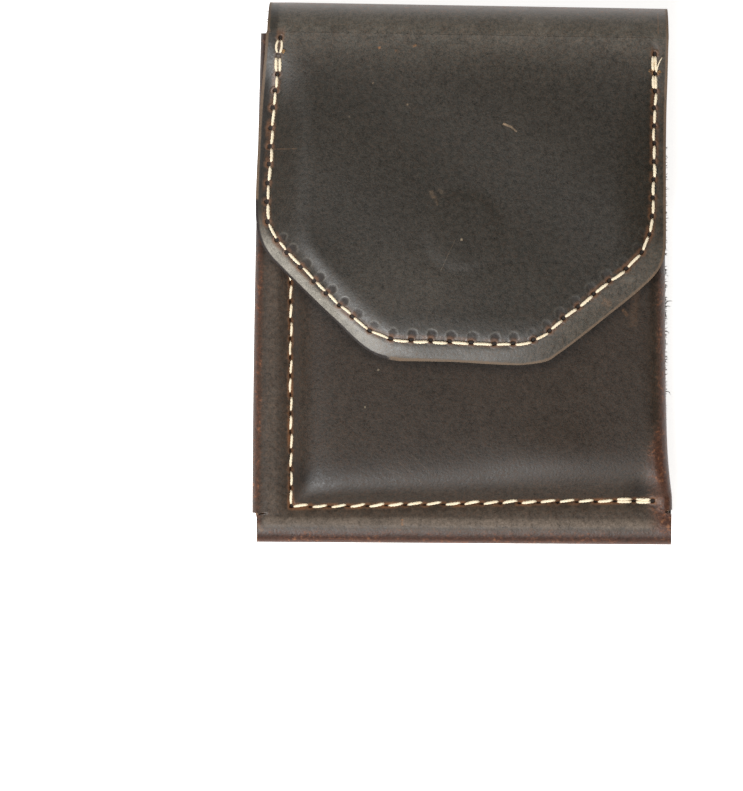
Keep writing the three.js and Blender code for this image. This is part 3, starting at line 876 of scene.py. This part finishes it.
def stitch(start, end, level, aside=(0.0, 0.0), radius=thread_radius, bow=0.0, side=1, steps=24):
    """One stitch. aside moves its two ends off the line of holes, and bow its middle."""
    start, end = np.array(start), np.array(end)
    line = end - start
    length = np.hypot(*line)
    inward = np.array([-line[1], line[0]]) / length
    path, radii = [], []
    wander = random.uniform(-middle_wander, middle_wander)
    aside = [offset + random.uniform(-end_wander, end_wander) for offset in aside]
    thick = random.uniform(1 - thickness_spread, 1 + thickness_spread)
    for share in np.linspace(0, 1, steps):
        middle = math.sin(math.pi * share)
        offset = mix(aside[0], aside[1], share) + (bow + wander) * middle
        x, y = start + line * share + inward * offset
        from_end = min(share, 1 - share) * length
        risen = smooth((from_end - rise_start) / rise_run)
        path.append((x, y, level(x, y) + side * mix(below_hole, resting_share * radius, risen)))
        full = radius * thick * mix(0.6, 1.0, smooth(from_end / 1.9))
        radii.append(full * (1 + random.uniform(-fuzz, fuzz)))
    return strand(path, radii, turn=random.uniform(0, 6))

def doubled(start, end, level, apart=0.33):
    """Two strands side by side in the same pair of holes."""
    return [stitch(start, end, level, (offset, offset), doubled_radius) for offset in (-apart, apart)]

# %% [markdown]
# The flap's thread starts at its upper left in a small loop that never lay flat, followed by a doubled
# stitch. It ends at the upper right in two doubled stitches and a loose end. Along the bottom the
# strands lie a little outside the holes, where the curve of the border draws them.

# %% Sew the flap
flap_top = surface_of(flap)
flap_awl = flap_holes + shift[:2]
strands = []
last = len(flap_awl) - 2
for number, (start, end) in enumerate(zip(flap_awl[:-1], flap_awl[1:])):
    if number == 0:
        for offset, bow in ((-0.12, -0.62), (0.12, 0.62)):
            strands.append(stitch(start, end, flap_top, (offset, offset), small_loop_radius, bow))
    elif number in (1, last - 1, last):
        strands += doubled(start, end, flap_top)
    else:
        aside = -0.1 if number < 10 else -0.25 if number < 19 else -0.55 if number < 27 else -0.35
        strands.append(stitch(start, end, flap_top, aside=(aside, aside)))
flap_thread = join_strands("flap_stitches", strands)
settle(flap_thread, "thread")

# %% Sew the bag
bag_top = surface_of(bag)
bag_awl = bag_holes + shift[:2]
strands = []
for number, (start, end) in enumerate(zip(bag_awl[:-1], bag_awl[1:])):
    if number >= len(bag_awl) - 3:
        strands += doubled(start, end, bag_top)
    elif number >= left_stitches:
        strands.append(stitch(start, end, bag_top, aside=(-0.3, 0.45)))
    else:
        strands.append(stitch(start, end, bag_top, (0.12, -0.12), left_row_radius))
bag_thread = join_strands("bag_stitches", strands)
settle(bag_thread, "thread")

# %% [markdown]
# The back's seam goes through the same holes as the bag's, and the belt loop has a row of its own in
# each of its two tabs. Both lie on faces that look down, so the rays are cast from below.

# %% Sew the back and the belt loop
back_face = surface_of(flap, side=-1)
strands = [stitch(start, end, back_face, side=-1) for start, end in zip(bag_awl[:-1], bag_awl[1:])]
back_thread = join_strands("back_stitches", strands)
settle(back_thread, "thread")

loop_face = surface_of(loop, side=-1)
strands = []
for tab_y in (loop_middle + ramp_end + loop_tab / 2, loop_middle - ramp_end - loop_tab / 2):
    row = [(x + shift[0], tab_y + shift[1]) for x in tab_holes_x]
    strands += [stitch(start, end, loop_face, side=-1) for start, end in zip(row[:-1], row[1:])]
loop_thread = join_strands("loop_stitches", strands)
settle(loop_thread, "thread")

# %% [markdown]
# ## Loose ends and fibres
#
# The cut end of the flap's thread sticks up and out at the right, and scraps of waxed fibre cling to
# the doubled stitches. The raw edge of the outer back has shed stray fibres too. A hair system would
# scatter them, but only a handful catch the eye, so the long ones are placed one by one.

# %% Thread ends and scraps
def frame_point(x, y, z):
    return np.array([x + shift[0], y + shift[1], z])

def curl(start, end, radius, bulge=0.0, steps=9, lobes=0.05):
    """A thin tapering fibre or thread end between two points in bag millimetres."""
    start, end = frame_point(*start), frame_point(*end)
    across_it = np.array([-(end - start)[1], (end - start)[0], 0.0])
    shares = np.linspace(0, 1, steps)
    path = [mix(start, end, share) + across_it * bulge * math.sin(math.pi * share) for share in shares]
    return strand(path, [radius * mix(1.0, 0.35, share) for share in shares], sides=6, lobes=lobes)

def top_of_flap(x, y):
    return flap_top(x + shift[0], y + shift[1])

end_level, start_level = top_of_flap(50.6, 123.8), top_of_flap(-47.0, 128.9)
loose = [curl((50.7, 123.4, end_level + 0.6), (52.2, 127.2, end_level + 1.5), 0.25, 0.04)]
loose_end = join_strands("loose_thread_end", loose)
settle(loose_end, "thread")

scraps = []
fluffy_places = [
    # x, y, height, number of scraps
    (-47.1, 128.9, start_level, 16), (49.3, 123.6, end_level, 18), (51.3, 123.4, end_level, 9),
]
for x, y, level, count in fluffy_places:
    for _ in range(count):
        middle = np.array([x, y]) + random.normal(0, 0.28, 2)
        angle, length = random.uniform(0, 2 * math.pi), random.uniform(0.4, 1.0)
        step = np.array([math.cos(angle), math.sin(angle)]) * length / 2
        low, high = level + random.uniform(0.05, 0.3), level + random.uniform(0.2, 0.5)
        ends = (*(middle - step), low), (*(middle + step), high)
        scraps.append(curl(*ends, 0.09, random.uniform(-0.3, 0.3), 6))
scrap_piece = join_strands("thread_scraps", scraps)
settle(scrap_piece, "thread")

# %% Fibres of the raw edge
fibres = []
edge_x = back_right + 0.1
for _ in range(170):
    y = random.uniform(30, 105)
    level = back_level + random.uniform(-0.9, 0.9)
    reach = random.uniform(0.15, 0.55)
    tip = (edge_x + reach, y + random.uniform(-0.5, 0.5), level + random.uniform(-0.2, 0.3))
    radius, bulge = random.uniform(0.06, 0.13), random.uniform(-0.3, 0.3)
    fibres.append(curl((edge_x - 0.25, y, level), tip, radius, bulge, 5))
long_fibres = [
    # start y, reach, rise along the edge, radius
    (62.2, 1.7, 1.3, 0.13), (61.6, 1.2, 0.4, 0.12), (55.4, 0.9, -0.5, 0.1), (39.6, 1.3, -0.8, 0.08),
    (39.2, 1.1, 0.2, 0.1), (92.4, 1.0, 0.6, 0.08), (84.5, 0.8, 0.9, 0.11), (95.0, 0.7, 0.5, 0.07),
    (47.5, 0.7, 0.5, 0.07), (70.3, 0.7, -0.4, 0.07),
]
for y, reach, rise, radius in long_fibres:
    tip = (edge_x + reach, y + rise, back_level + 0.5)
    fibres.append(curl((edge_x - 0.3, y, back_level), tip, radius * 1.4, 0.25))
for y, reach in ((141.1, 0.5), (139.0, 0.4), (138.4, 0.45)):
    top_x = flap_offset - flap_width / 2 * 0.957
    fibres.append(curl((top_x + 0.3, y - 1.5, 17.0), (top_x - reach, y - 1.2, 17.2), 0.1, 0.2, 5))
fibre_piece = join_strands("edge_fibres", fibres)
settle(fibre_piece, "flap_leather")

# %% [markdown]
# ## Finishes as expressions
#
# A material is a small program made of nodes. Written as node calls it is hard to read, so a small
# class wraps a node's output and lets Python's own operators add the Math nodes. One more class makes
# every other node: settings first, then the values or links of its sockets. It serves a leather as
# well as the room's light, since both are node trees.

# %% Values
class Value:
    """One output of a node: something that changes over the surface."""

    def __init__(self, finish, socket):
        self.finish, self.socket = finish, socket

    def maths(self, operation, first, second=0.0):
        return self.finish.node("ShaderNodeMath", {"operation": operation}, {0: first, 1: second})

    def __add__(self, other):
        return self.maths("ADD", self, other)

    def __sub__(self, other):
        return self.maths("SUBTRACT", self, other)

    def __rsub__(self, other):
        return self.maths("SUBTRACT", other, self)

    def __mul__(self, other):
        return self.maths("MULTIPLY", self, other)

    def __pow__(self, other):
        return self.maths("POWER", self, other)

    def __abs__(self):
        return self.maths("ABSOLUTE", self)

    __radd__ = __add__
    __rmul__ = __mul__

    def over(self, low, high):
        """0 below low, 1 above high and a soft step between. With low above high it falls."""
        settings = {"interpolation_type": "SMOOTHSTEP"}
        if low < high:
            return self.finish.node("ShaderNodeMapRange", settings, {0: self, 1: low, 2: high})
        return 1 - self.finish.node("ShaderNodeMapRange", settings, {0: self, 1: high, 2: low})

    def larger(self, other):
        return self.maths("MAXIMUM", self, other)

    def swing(self):
        """From -0.5 to 0.5 round every whole number."""
        return self.maths("FRACT", self + 0.5) - 0.5

# %% Finishes
class Finish:
    """A material, or a room's light, that is being made."""

    def __init__(self, name, kind=bpy.data.materials):
        self.made = kind.new(name)
        self.made.use_nodes = True
        self.tree = self.made.node_tree
        self.tree.nodes.clear()

    def node(self, kind, settings=None, inputs=None, output=0):
        made = self.tree.nodes.new(kind)
        for title, value in (settings or {}).items():
            if title == "stops":
                for stop, (position, colour) in zip(made.color_ramp.elements, value):
                    stop.position, stop.color = position, colour
            else:
                setattr(made, title, value)
        for title, value in (inputs or {}).items():
            if isinstance(value, Value):
                self.tree.links.new(value.socket, made.inputs[title])
            else:
                made.inputs[title].default_value = value
        return Value(self, made.outputs[output]) if made.outputs else made

    def measure(self, title):
        return self.node("ShaderNodeAttribute", {"attribute_name": title}, output="Fac")

    def blend(self, share, first, second):
        settings = {"data_type": "RGBA", "clamp_factor": True}
        return self.node("ShaderNodeMix", settings, {0: share, 6: first, 7: second}, output=2)

    def shade(self, colour, factor):
        settings = {"data_type": "RGBA", "blend_type": "MULTIPLY"}
        return self.node("ShaderNodeMix", settings, {0: 1.0, 6: colour, 7: factor}, output=2)

    def noise(self, size, detail=2.0, roughness=0.5, where=None):
        """Noise with humps of a size in millimetres, from 0 to 1."""
        where = where or self.place()
        facts = {"Vector": where, "Scale": 1000 / size, "Detail": detail, "Roughness": roughness}
        return self.node("ShaderNodeTexNoise", None, facts)

    def place(self):
        if not hasattr(self, "object_place"):
            self.object_place = self.node("ShaderNodeTexCoord", output="Object")
        return self.object_place

    def done(self, colour, roughness, height=None, **constants):
        """Adds the surface shader. height is in millimetres and becomes the bump."""
        facts = {"Base Color": colour, "Roughness": roughness, **constants}
        if height is not None:
            relief = {"Height": height, "Distance": 0.001, "Strength": 1.0}
            facts["Normal"] = self.node("ShaderNodeBump", None, relief)
        surface = self.node("ShaderNodeBsdfPrincipled", None, facts)
        self.node("ShaderNodeOutputMaterial", None, {"Surface": surface})
        print("finish:", self.made.name, len(self.tree.nodes), "nodes")
        return self.made

# %% [markdown]
# ## Oiled leather
#
# Leather that was soaked in oil and wax is nearly black-brown. Where it is bent or pulled, the wax
# moves and the leather goes paler, and the same pale tint carries painted highlights where borders and
# crowns tilt toward the softbox. Where hands and belt rub it, it goes reddish brown and smoother.
# Both show in broken patches and not as clean bands, so the masks that were measured on the grid are
# broken up with noise before they tint anything. A third mask lays painted shade, unbroken, in a few
# places such as under the flap's edge and on the bottom roll.
#
# The seam's holes, the dents beside them and the ring of lifted grain round each hole come from
# `along` and `beside`. Holes and dents get painted shade and the lit side of each dent's rim a painted
# highlight, and the three go into one height in millimetres for the bump. The groove beside the thread
# gets a painted shadow.

# %% The marks of a hand's use
flap_marks = [
    # x, y, x, y, width in frame millimetres, strength, rust share
    (11.0, 39.2, 13.2, 38.3, 0.42, 0.9, 0.35), (13.0, 38.4, 14.5, 37.1, 0.3, 0.7, 0.35),
    (-1.6, 8.9, -5.5, 0.5, 0.15, 0.2, 0.2), (-49.5, 32.6, -43.2, 32.7, 0.25, 0.2, 0.8),
    (-21.7, 59.1, -21.2, 59.2, 0.5, 0.8, 1.0), (-17.3, 58.3, -16.9, 58.4, 0.4, 0.7, 1.0),
    (-12.6, 59.5, -11.9, 59.8, 0.45, 0.7, 0.9), (-14.3, 44.2, -14.0, 44.3, 0.4, 0.55, 0.3),
    (-29.4, 41.0, -29.2, 41.1, 0.35, 0.45, 0.2), (-23.3, 49.9, -23.0, 49.9, 0.35, 0.4, 0.3),
    (-8.0, 21.5, -7.2, 19.8, 0.9, 0.2, 0.5), (-6.0, 21.8, -5.0, 21.2, 0.8, 0.16, 0.4),
    (-6.8, 19.5, -6.2, 17.9, 0.5, 0.14, 0.5),
    (-0.1, 8.9, 0.2, 8.8, 0.45, 0.75, 0.1), (51.6, 68.4, 51.6, 62.6, 0.22, 0.4, 0.9),
    (37.3, -7.4, 38.9, -7.9, 1.5, 0.22, 1.0),
]
bag_marks = [
    (-53.6, -66.0, -52.4, -67.6, 0.9, 0.3, 0.7), (-54.0, -68.0, -53.8, -70.2, 0.5, 0.5, 0.9),
    (-21.9, -25.3, -21.7, -25.4, 0.42, 0.8, 0.0), (-25.4, -35.1, -25.2, -35.1, 0.4, 0.7, 0.0),
    (-15.5, -64.7, -15.4, -66.1, 0.5, 0.75, 1.0), (46.0, -3.5, 45.2, -13.5, 1.7, 0.1, 0.9),
    (42.5, -9.5, 43.6, -11.0, 0.7, 0.25, 0.9), (-16.5, -49.5, -10.5, -54.9, 0.18, 0.1, 0.6),
    (-20.0, -51.0, -14.0, -54.5, 0.18, 0.09, 0.6), (-13.0, -47.5, -8.0, -52.5, 0.16, 0.09, 0.5),
]

def mark_masks(finish, marks):
    """How pale and how rusty each place is, from a table of short strokes."""
    place = finish.place()
    x = finish.node("ShaderNodeSeparateXYZ", None, {0: place}, output=0) * 1000
    y = finish.node("ShaderNodeSeparateXYZ", None, {0: place}, output=1) * 1000
    broken = finish.noise(0.7, 3, 0.6).over(0.2, 0.75)
    pale, rust = 0.0, 0.0
    for x1, y1, x2, y2, width, strength, rusty in marks:
        length = math.hypot(x2 - x1, y2 - y1)
        cos, sin = (x2 - x1) / length, (y2 - y1) / length
        middle_x, middle_y = (x1 + x2) / 2, (y1 + y2) / 2
        lengthwise = abs((x - middle_x) * cos + (y - middle_y) * sin)
        crosswise = abs((y - middle_y) * cos - (x - middle_x) * sin)
        within = lengthwise.over(length / 2 + width / 2, length / 2)
        on_it = crosswise.over(width, width * 0.2) * within * strength
        pale, rust = pale + on_it * (1 - rusty), rust + on_it * rusty
    return pale * broken, rust * broken

# %% What the awl and the thread leave in the grain
stitch_length = 5.0

def seam_marks(finish, patches, dents_at):
    """Masks round every stitch: its hole, the groove under the thread, where a painted shadow goes, and the dent
    beside it, for painted shade and the lit side of its rim.
    """
    along, beside = finish.measure("along"), finish.measure("beside")
    sewn, dent = finish.measure("sewn"), finish.measure("dent")
    wobble = (finish.noise(0.8, 2) - 0.5) * 0.5
    from_hole = along.swing() * stitch_length
    to_hole = (from_hole * from_hole + beside * beside) ** 0.5 + wobble
    from_dent, beside_dent = from_hole - 0.35, beside - dents_at
    to_dent = (from_dent * from_dent + beside_dent * beside_dent) ** 0.5 + wobble * 0.7
    dent = dent * finish.noise(7, 1).over(0.25, 0.6)
    return {
        "hole": to_hole.over(0.8, 0.45) * sewn,
        "halo": to_hole.over(1.7, 0.8) * sewn * patches.over(0.22, 0.5),
        "lip": to_hole.over(0.6, 1.0) * to_hole.over(1.6, 1.05) * sewn,
        # The groove beside the thread gets a painted shadow in the finish.
        "groove": abs(beside).over(0.95, 0.45) * sewn,
        "fringe": abs(beside).over(1.6, 0.7) * patches.over(0.4, 0.62) * sewn,
        # The dent's mask also carries the painted shade in each dent.
        "dent_and_shade": to_dent.over(1.5, 0.6) * dent,
        "dent rim": to_dent.over(1.0, 1.45) * to_dent.over(2.0, 1.5) * dent,
        # The side of a dent's rim that faces the softbox, for a painted highlight.
        "dent lit side": abs(beside_dent).over(-0.3, 1.0),
    }

# %% [markdown]
# The grain side is tinted in layers: first the oiled brown, then the places that are pulled pale, with
# their painted highlights, and rubbed red, then painted shade, the edge line's painted light and shade,
# the dents' painted shade and the painted highlight on their lit rims, then the marks of use, and last
# the fringe of each hole, the painted shadow in the thread's groove and the painted shade in the hole itself.

# %% Grain side of the leather
# The black is painted shade in holes and dents, the dark brown painted shade in the thread's groove and on the
# flap's lower left edge line, and the tan the edge line's painted light.
hole_shade_black = (0.012, 0.0065, 0.004, 1)
halo_brown, painted_shade_brown = (0.21, 0.092, 0.04, 1), (0.012, 0.006, 0.004, 1)
lit_edge_tan, warmer = (0.16, 0.105, 0.064, 1), (1.3, 0.86, 0.62, 1)
mark_pale, mark_rust = (0.5, 0.4, 0.27, 1), (0.34, 0.15, 0.055, 1)

def grain_side(name, plain, rubbed, pale_and_highlight, gloss, dents_at, frayed, marks=()):
    finish = Finish(name)
    clouds = finish.noise(26, 4, 0.6)
    patches = finish.noise(4.5, 5, 0.65)
    mottle = finish.noise(1.1, 4, 0.6)
    pores = finish.noise(0.3, 2, 0.6)
    seam = seam_marks(finish, patches, dents_at)
    hole, dent_and_shade, dent_rim = seam["hole"], seam["dent_and_shade"], seam["dent rim"]

    rub = (finish.measure("rub") * (0.3 + patches * 0.9 + mottle * 0.5)).over(0.12, 0.95)
    # This mask holds paling and painted highlights.
    pull_and_highlight = finish.measure("pull_and_highlight") * (0.55 + clouds * 0.5 + (patches - 0.5) * 0.5)
    painted_shade, edge = finish.measure("painted_shade"), finish.measure("edge")
    rust = rub * mottle.over(0.5, 0.68) * patches.over(0.42, 0.6)
    uneven = 1 + (mottle - 0.5) * 1.3 + (pores - 0.5) * 1.7 + (patches - 0.5) * 0.5
    warm_spots = finish.noise(0.55, 3, 0.6).over(0.4, 0.66) * (0.65 - pull_and_highlight)

    colour = finish.shade(plain, 0.7 + clouds * 0.5)
    colour = finish.blend(pull_and_highlight, colour, pale_and_highlight)
    colour = finish.blend(rub, colour, rubbed)
    colour = finish.blend(rust * 0.7, colour, halo_brown)
    colour = finish.shade(colour, uneven)
    colour = finish.blend(warm_spots, colour, finish.shade(colour, warmer))
    # Painted shade from the measured mask.
    colour = finish.shade(colour, 1 - painted_shade * 0.6)
    # The flap's edge line: painted tan light, then painted shade at the lower left.
    colour = finish.blend(edge.over(0.1, 0.75) * (0.3 + mottle * 0.9), colour, lit_edge_tan)
    colour = finish.blend((0 - edge).over(0.1, 0.75), colour, painted_shade_brown)
    # Painted shade in the dents.
    colour = finish.blend(dent_and_shade * 0.9, colour, hole_shade_black)
    # Painted highlight on the lit side of each dent's rim.
    colour = finish.blend(dent_rim * seam["dent lit side"] * 0.16, colour, pale_and_highlight)
    if marks:
        pale, rusty = mark_masks(finish, marks)
        colour = finish.blend(pale, colour, mark_pale)
        colour = finish.blend(rusty, colour, mark_rust)
    colour = finish.blend((seam["halo"] * 0.55).larger(seam["fringe"] * frayed), colour, halo_brown)
    # Painted shadow in the groove beside the thread.
    colour = finish.blend(seam["groove"] * 0.3, colour, painted_shade_brown)
    # Painted shade in the holes.
    colour = finish.blend(hole, colour, hole_shade_black)

    cells = {"Vector": finish.place(), "Scale": 1000 / 0.6}
    grain = finish.node("ShaderNodeTexVoronoi", {"feature": "SMOOTH_F1"}, cells)
    height = grain * 0.02 + pores * 0.012 + mottle * 0.02 + patches * (0.05 + (rub + pull_and_highlight) * 0.1)
    height = height - hole * 0.5 - dent_and_shade * 0.09 + dent_rim * 0.01 + seam["lip"] * 0.05
    roughness = 0.44 + (mottle - 0.5) * 0.3 + (pores - 0.5) * 0.3
    roughness = roughness + hole * 0.3 + dent_and_shade * 0.2 + abs(edge) * 0.25
    return finish.done(colour, roughness, height, **{"Specular IOR Level": gloss})

# %% Three pieces of grain leather
plain_bag, plain_flap = (0.0325, 0.0248, 0.0178, 1), (0.0258, 0.0224, 0.016, 1)
# The pale colours serve for pulled leather and for the painted highlights on crowns, borders and dent rims.
rubbed_bag, pale_and_highlight_bag = (0.072, 0.029, 0.0165, 1), (0.14, 0.106, 0.079, 1)
rubbed_flap, pale_and_highlight_flap = (0.085, 0.055, 0.042, 1), (0.28, 0.258, 0.218, 1)
bag_browns = plain_bag, rubbed_bag, pale_and_highlight_bag
flap_browns = plain_flap, rubbed_flap, pale_and_highlight_flap
bag_gloss, flap_gloss, dents_outside, dents_inside = 0.3, 0.45, -1.2, 1.5
bag_finish = grain_side("oiled_leather_bag", *bag_browns, bag_gloss, dents_outside, 0.9, bag_marks)
flap_finish = grain_side("oiled_leather_flap", *flap_browns, flap_gloss, dents_inside, 0.5, flap_marks)
loop_finish = grain_side("oiled_leather_loop", *bag_browns, bag_gloss, dents_inside, 0.4)

# %% [markdown]
# The flesh side of a hide is suede: fibres, no gloss and a warmer brown. The cut edge shows the
# leather's inside, tan in the middle and darkened with oil and handling, with fibres that lie along it.

# %% Flesh side and cut edge
def flesh_side(name, plain):
    finish = Finish(name)
    fluff = finish.noise(0.35, 4, 0.7)
    clouds = finish.noise(9, 3)
    colour = finish.shade(plain, 0.55 + fluff * 0.6 + clouds * 0.3)
    return finish.done(colour, 0.85 + (fluff - 0.5) * 0.1, fluff * 0.12 + clouds * 0.05)

def cut_edge(name, tan, dark):
    finish = Finish(name)
    fibre = finish.noise(0.22, 4, 0.7)
    streaks = finish.noise(1.3, 4, 0.65)
    colour = finish.blend(streaks.over(0.3, 0.75), tan, dark)
    colour = finish.shade(colour, 0.6 + fibre * 0.8)
    return finish.done(colour, 0.62 + (fibre - 0.5) * 0.3, fibre * 0.09 + streaks * 0.06)

flesh_finish = flesh_side("suede_inside", (0.075, 0.047, 0.032, 1))
flap_edge = cut_edge("flap_cut_edge", (0.36, 0.25, 0.16, 1), (0.16, 0.1, 0.065, 1))
bag_edge = cut_edge("bag_cut_edge", (0.22, 0.12, 0.06, 1), (0.07, 0.04, 0.028, 1))

outside_edge_inside = [
    (bag, bag_finish, bag_edge, flesh_finish), (flap, flap_finish, flap_edge, flesh_finish),
    (loop, loop_finish, bag_edge, flesh_finish), (lining, flesh_finish, flap_edge, flesh_finish),
]
for piece, *finishes in outside_edge_inside:
    for material in finishes:
        piece.data.materials.append(material)

# %% [markdown]
# ## Thread, fibres and steel
#
# Waxed linen thread is cream, with darker wax between its plies. The fibres that the raw edge has shed
# are dark. The clasp is a plain steel disc between lining and front: nobody sees it, but it is there,
# so it gets a brushed finish.

# %% Thread, fibre and steel
def thread_finish(name, cream, wax):
    finish = Finish(name)
    fibre = finish.noise(0.16, 3, 0.6)
    waxed = finish.noise(1.6, 3, 0.6)
    colour = finish.blend(waxed.over(0.5, 0.75) * 0.5, cream, wax)
    colour = finish.shade(colour, 0.78 + fibre * 0.36)
    return finish.done(colour, 0.6 + (waxed - 0.5) * 0.2, fibre * 0.07)

cream_thread = thread_finish("waxed_linen", (0.93, 0.8, 0.58, 1), (0.72, 0.5, 0.26, 1))
scrap_thread = thread_finish("waxed_scraps", (0.4, 0.23, 0.1, 1), (0.3, 0.14, 0.05, 1))
fibre_finish = thread_finish("leather_fibre", (0.045, 0.025, 0.018, 1), (0.09, 0.045, 0.025, 1))
for piece in (flap_thread, bag_thread, back_thread, loop_thread, loose_end):
    piece.data.materials.append(cream_thread)
scrap_piece.data.materials.append(scrap_thread)
fibre_piece.data.materials.append(fibre_finish)

steel = Finish("brushed_steel")
brushed = steel.node("ShaderNodeMapping", None, {"Vector": steel.place(), "Scale": (1.0, 14.0, 1.0)})
lines = steel.noise(0.5, 3, 0.6, brushed)
steel_colour = steel.shade((0.35, 0.34, 0.33, 1), 0.8 + lines * 0.4)
steel_finish = steel.done(steel_colour, 0.3 + lines * 0.2, lines * 0.01, Metallic=0.95)
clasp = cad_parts["clasp"]
clasp.data.materials.clear()
clasp.data.materials.append(steel_finish)

# %% [markdown]
# ## Table and light
#
# The table is plain white and lit so strongly that it leaves no shadow in the picture. The light is a
# big softbox that stands toward the lower left, some way off the vertical. Flat leather therefore
# mirrors the dark room above it, and only what is tilted a little toward the softbox, such as borders
# and crowns, lights up. Past the softbox a pale room fills the rims from the side; it is darker toward
# the right, where the pouch's folded edge shows more of its own reddish brown and less gloss.

# %% Table
bpy.ops.mesh.primitive_plane_add(size=6)
table = bpy.context.object
table.name = "table"
paper = Finish("white_paper")
tooth = paper.noise(0.8, 3)
paper_colour = paper.shade((0.92, 0.915, 0.91, 1), 0.97 + tooth * 0.05)
lit_white = {"Emission Color": (1.0, 0.99, 0.975, 1), "Emission Strength": 0.85}
table.data.materials.append(paper.done(paper_colour, 0.9, tooth * 0.02, **lit_white))
table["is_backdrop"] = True

# %% Light
def softbox(name, towards, distance, width, height, power):
    """An area light that looks at the pouch from a direction, given as x, y, z."""
    lamp = bpy.data.lights.new(name, "AREA")
    lamp.shape, lamp.size, lamp.size_y, lamp.energy = "RECTANGLE", width, height, power
    holder = put_in_scene(name, lamp)
    direction = Vector(towards).normalized()
    holder.location = direction * distance
    holder.rotation_euler = direction.to_track_quat("Z", "Y").to_euler()

softbox("key_softbox", (-0.3, -0.56, 0.95), 1.3, 0.6, 0.45, 19.5)

# %% Pale room
room = Finish("pale_room", bpy.data.worlds)
direction = room.node("ShaderNodeTexCoord", output="Generated")
to_the_right = room.node("ShaderNodeSeparateXYZ", None, {0: direction}, output="X").larger(0.0)
upwards = room.node("ShaderNodeSeparateXYZ", None, {0: direction}, output="Z")
horizon, ceiling = (0.97, 0.935, 0.9, 1), (0.1, 0.1, 0.1, 1)
fall = {"stops": [(0.15, horizon), (0.9, ceiling)]}
glow_colour = room.node("ShaderNodeValToRGB", fall, {"Fac": to_the_right * 0.5 + upwards})
glow = room.node("ShaderNodeBackground", None, {"Color": glow_colour, "Strength": 0.65})
room.node("ShaderNodeOutputWorld", None, {"Surface": glow})
bpy.context.scene.world = room.made
bpy.context.scene.view_settings.view_transform = "Standard"
print("Lit with one softbox and a pale room")

# %% [markdown]
# ## Last measurements
#
# The boxes of the solid pouch and of the dressed one are both printed, in millimetres. The dressed
# pouch has to stay as large as the solid one.

# %% Finish
boxes = {"solid": [list(corner) for corner in solid_box], "dressed": [list(corner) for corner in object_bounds()]}
for title, corners in boxes.items():
    print(title, [round(value * 1000, 1) for corner in corners for value in corner], "mm")
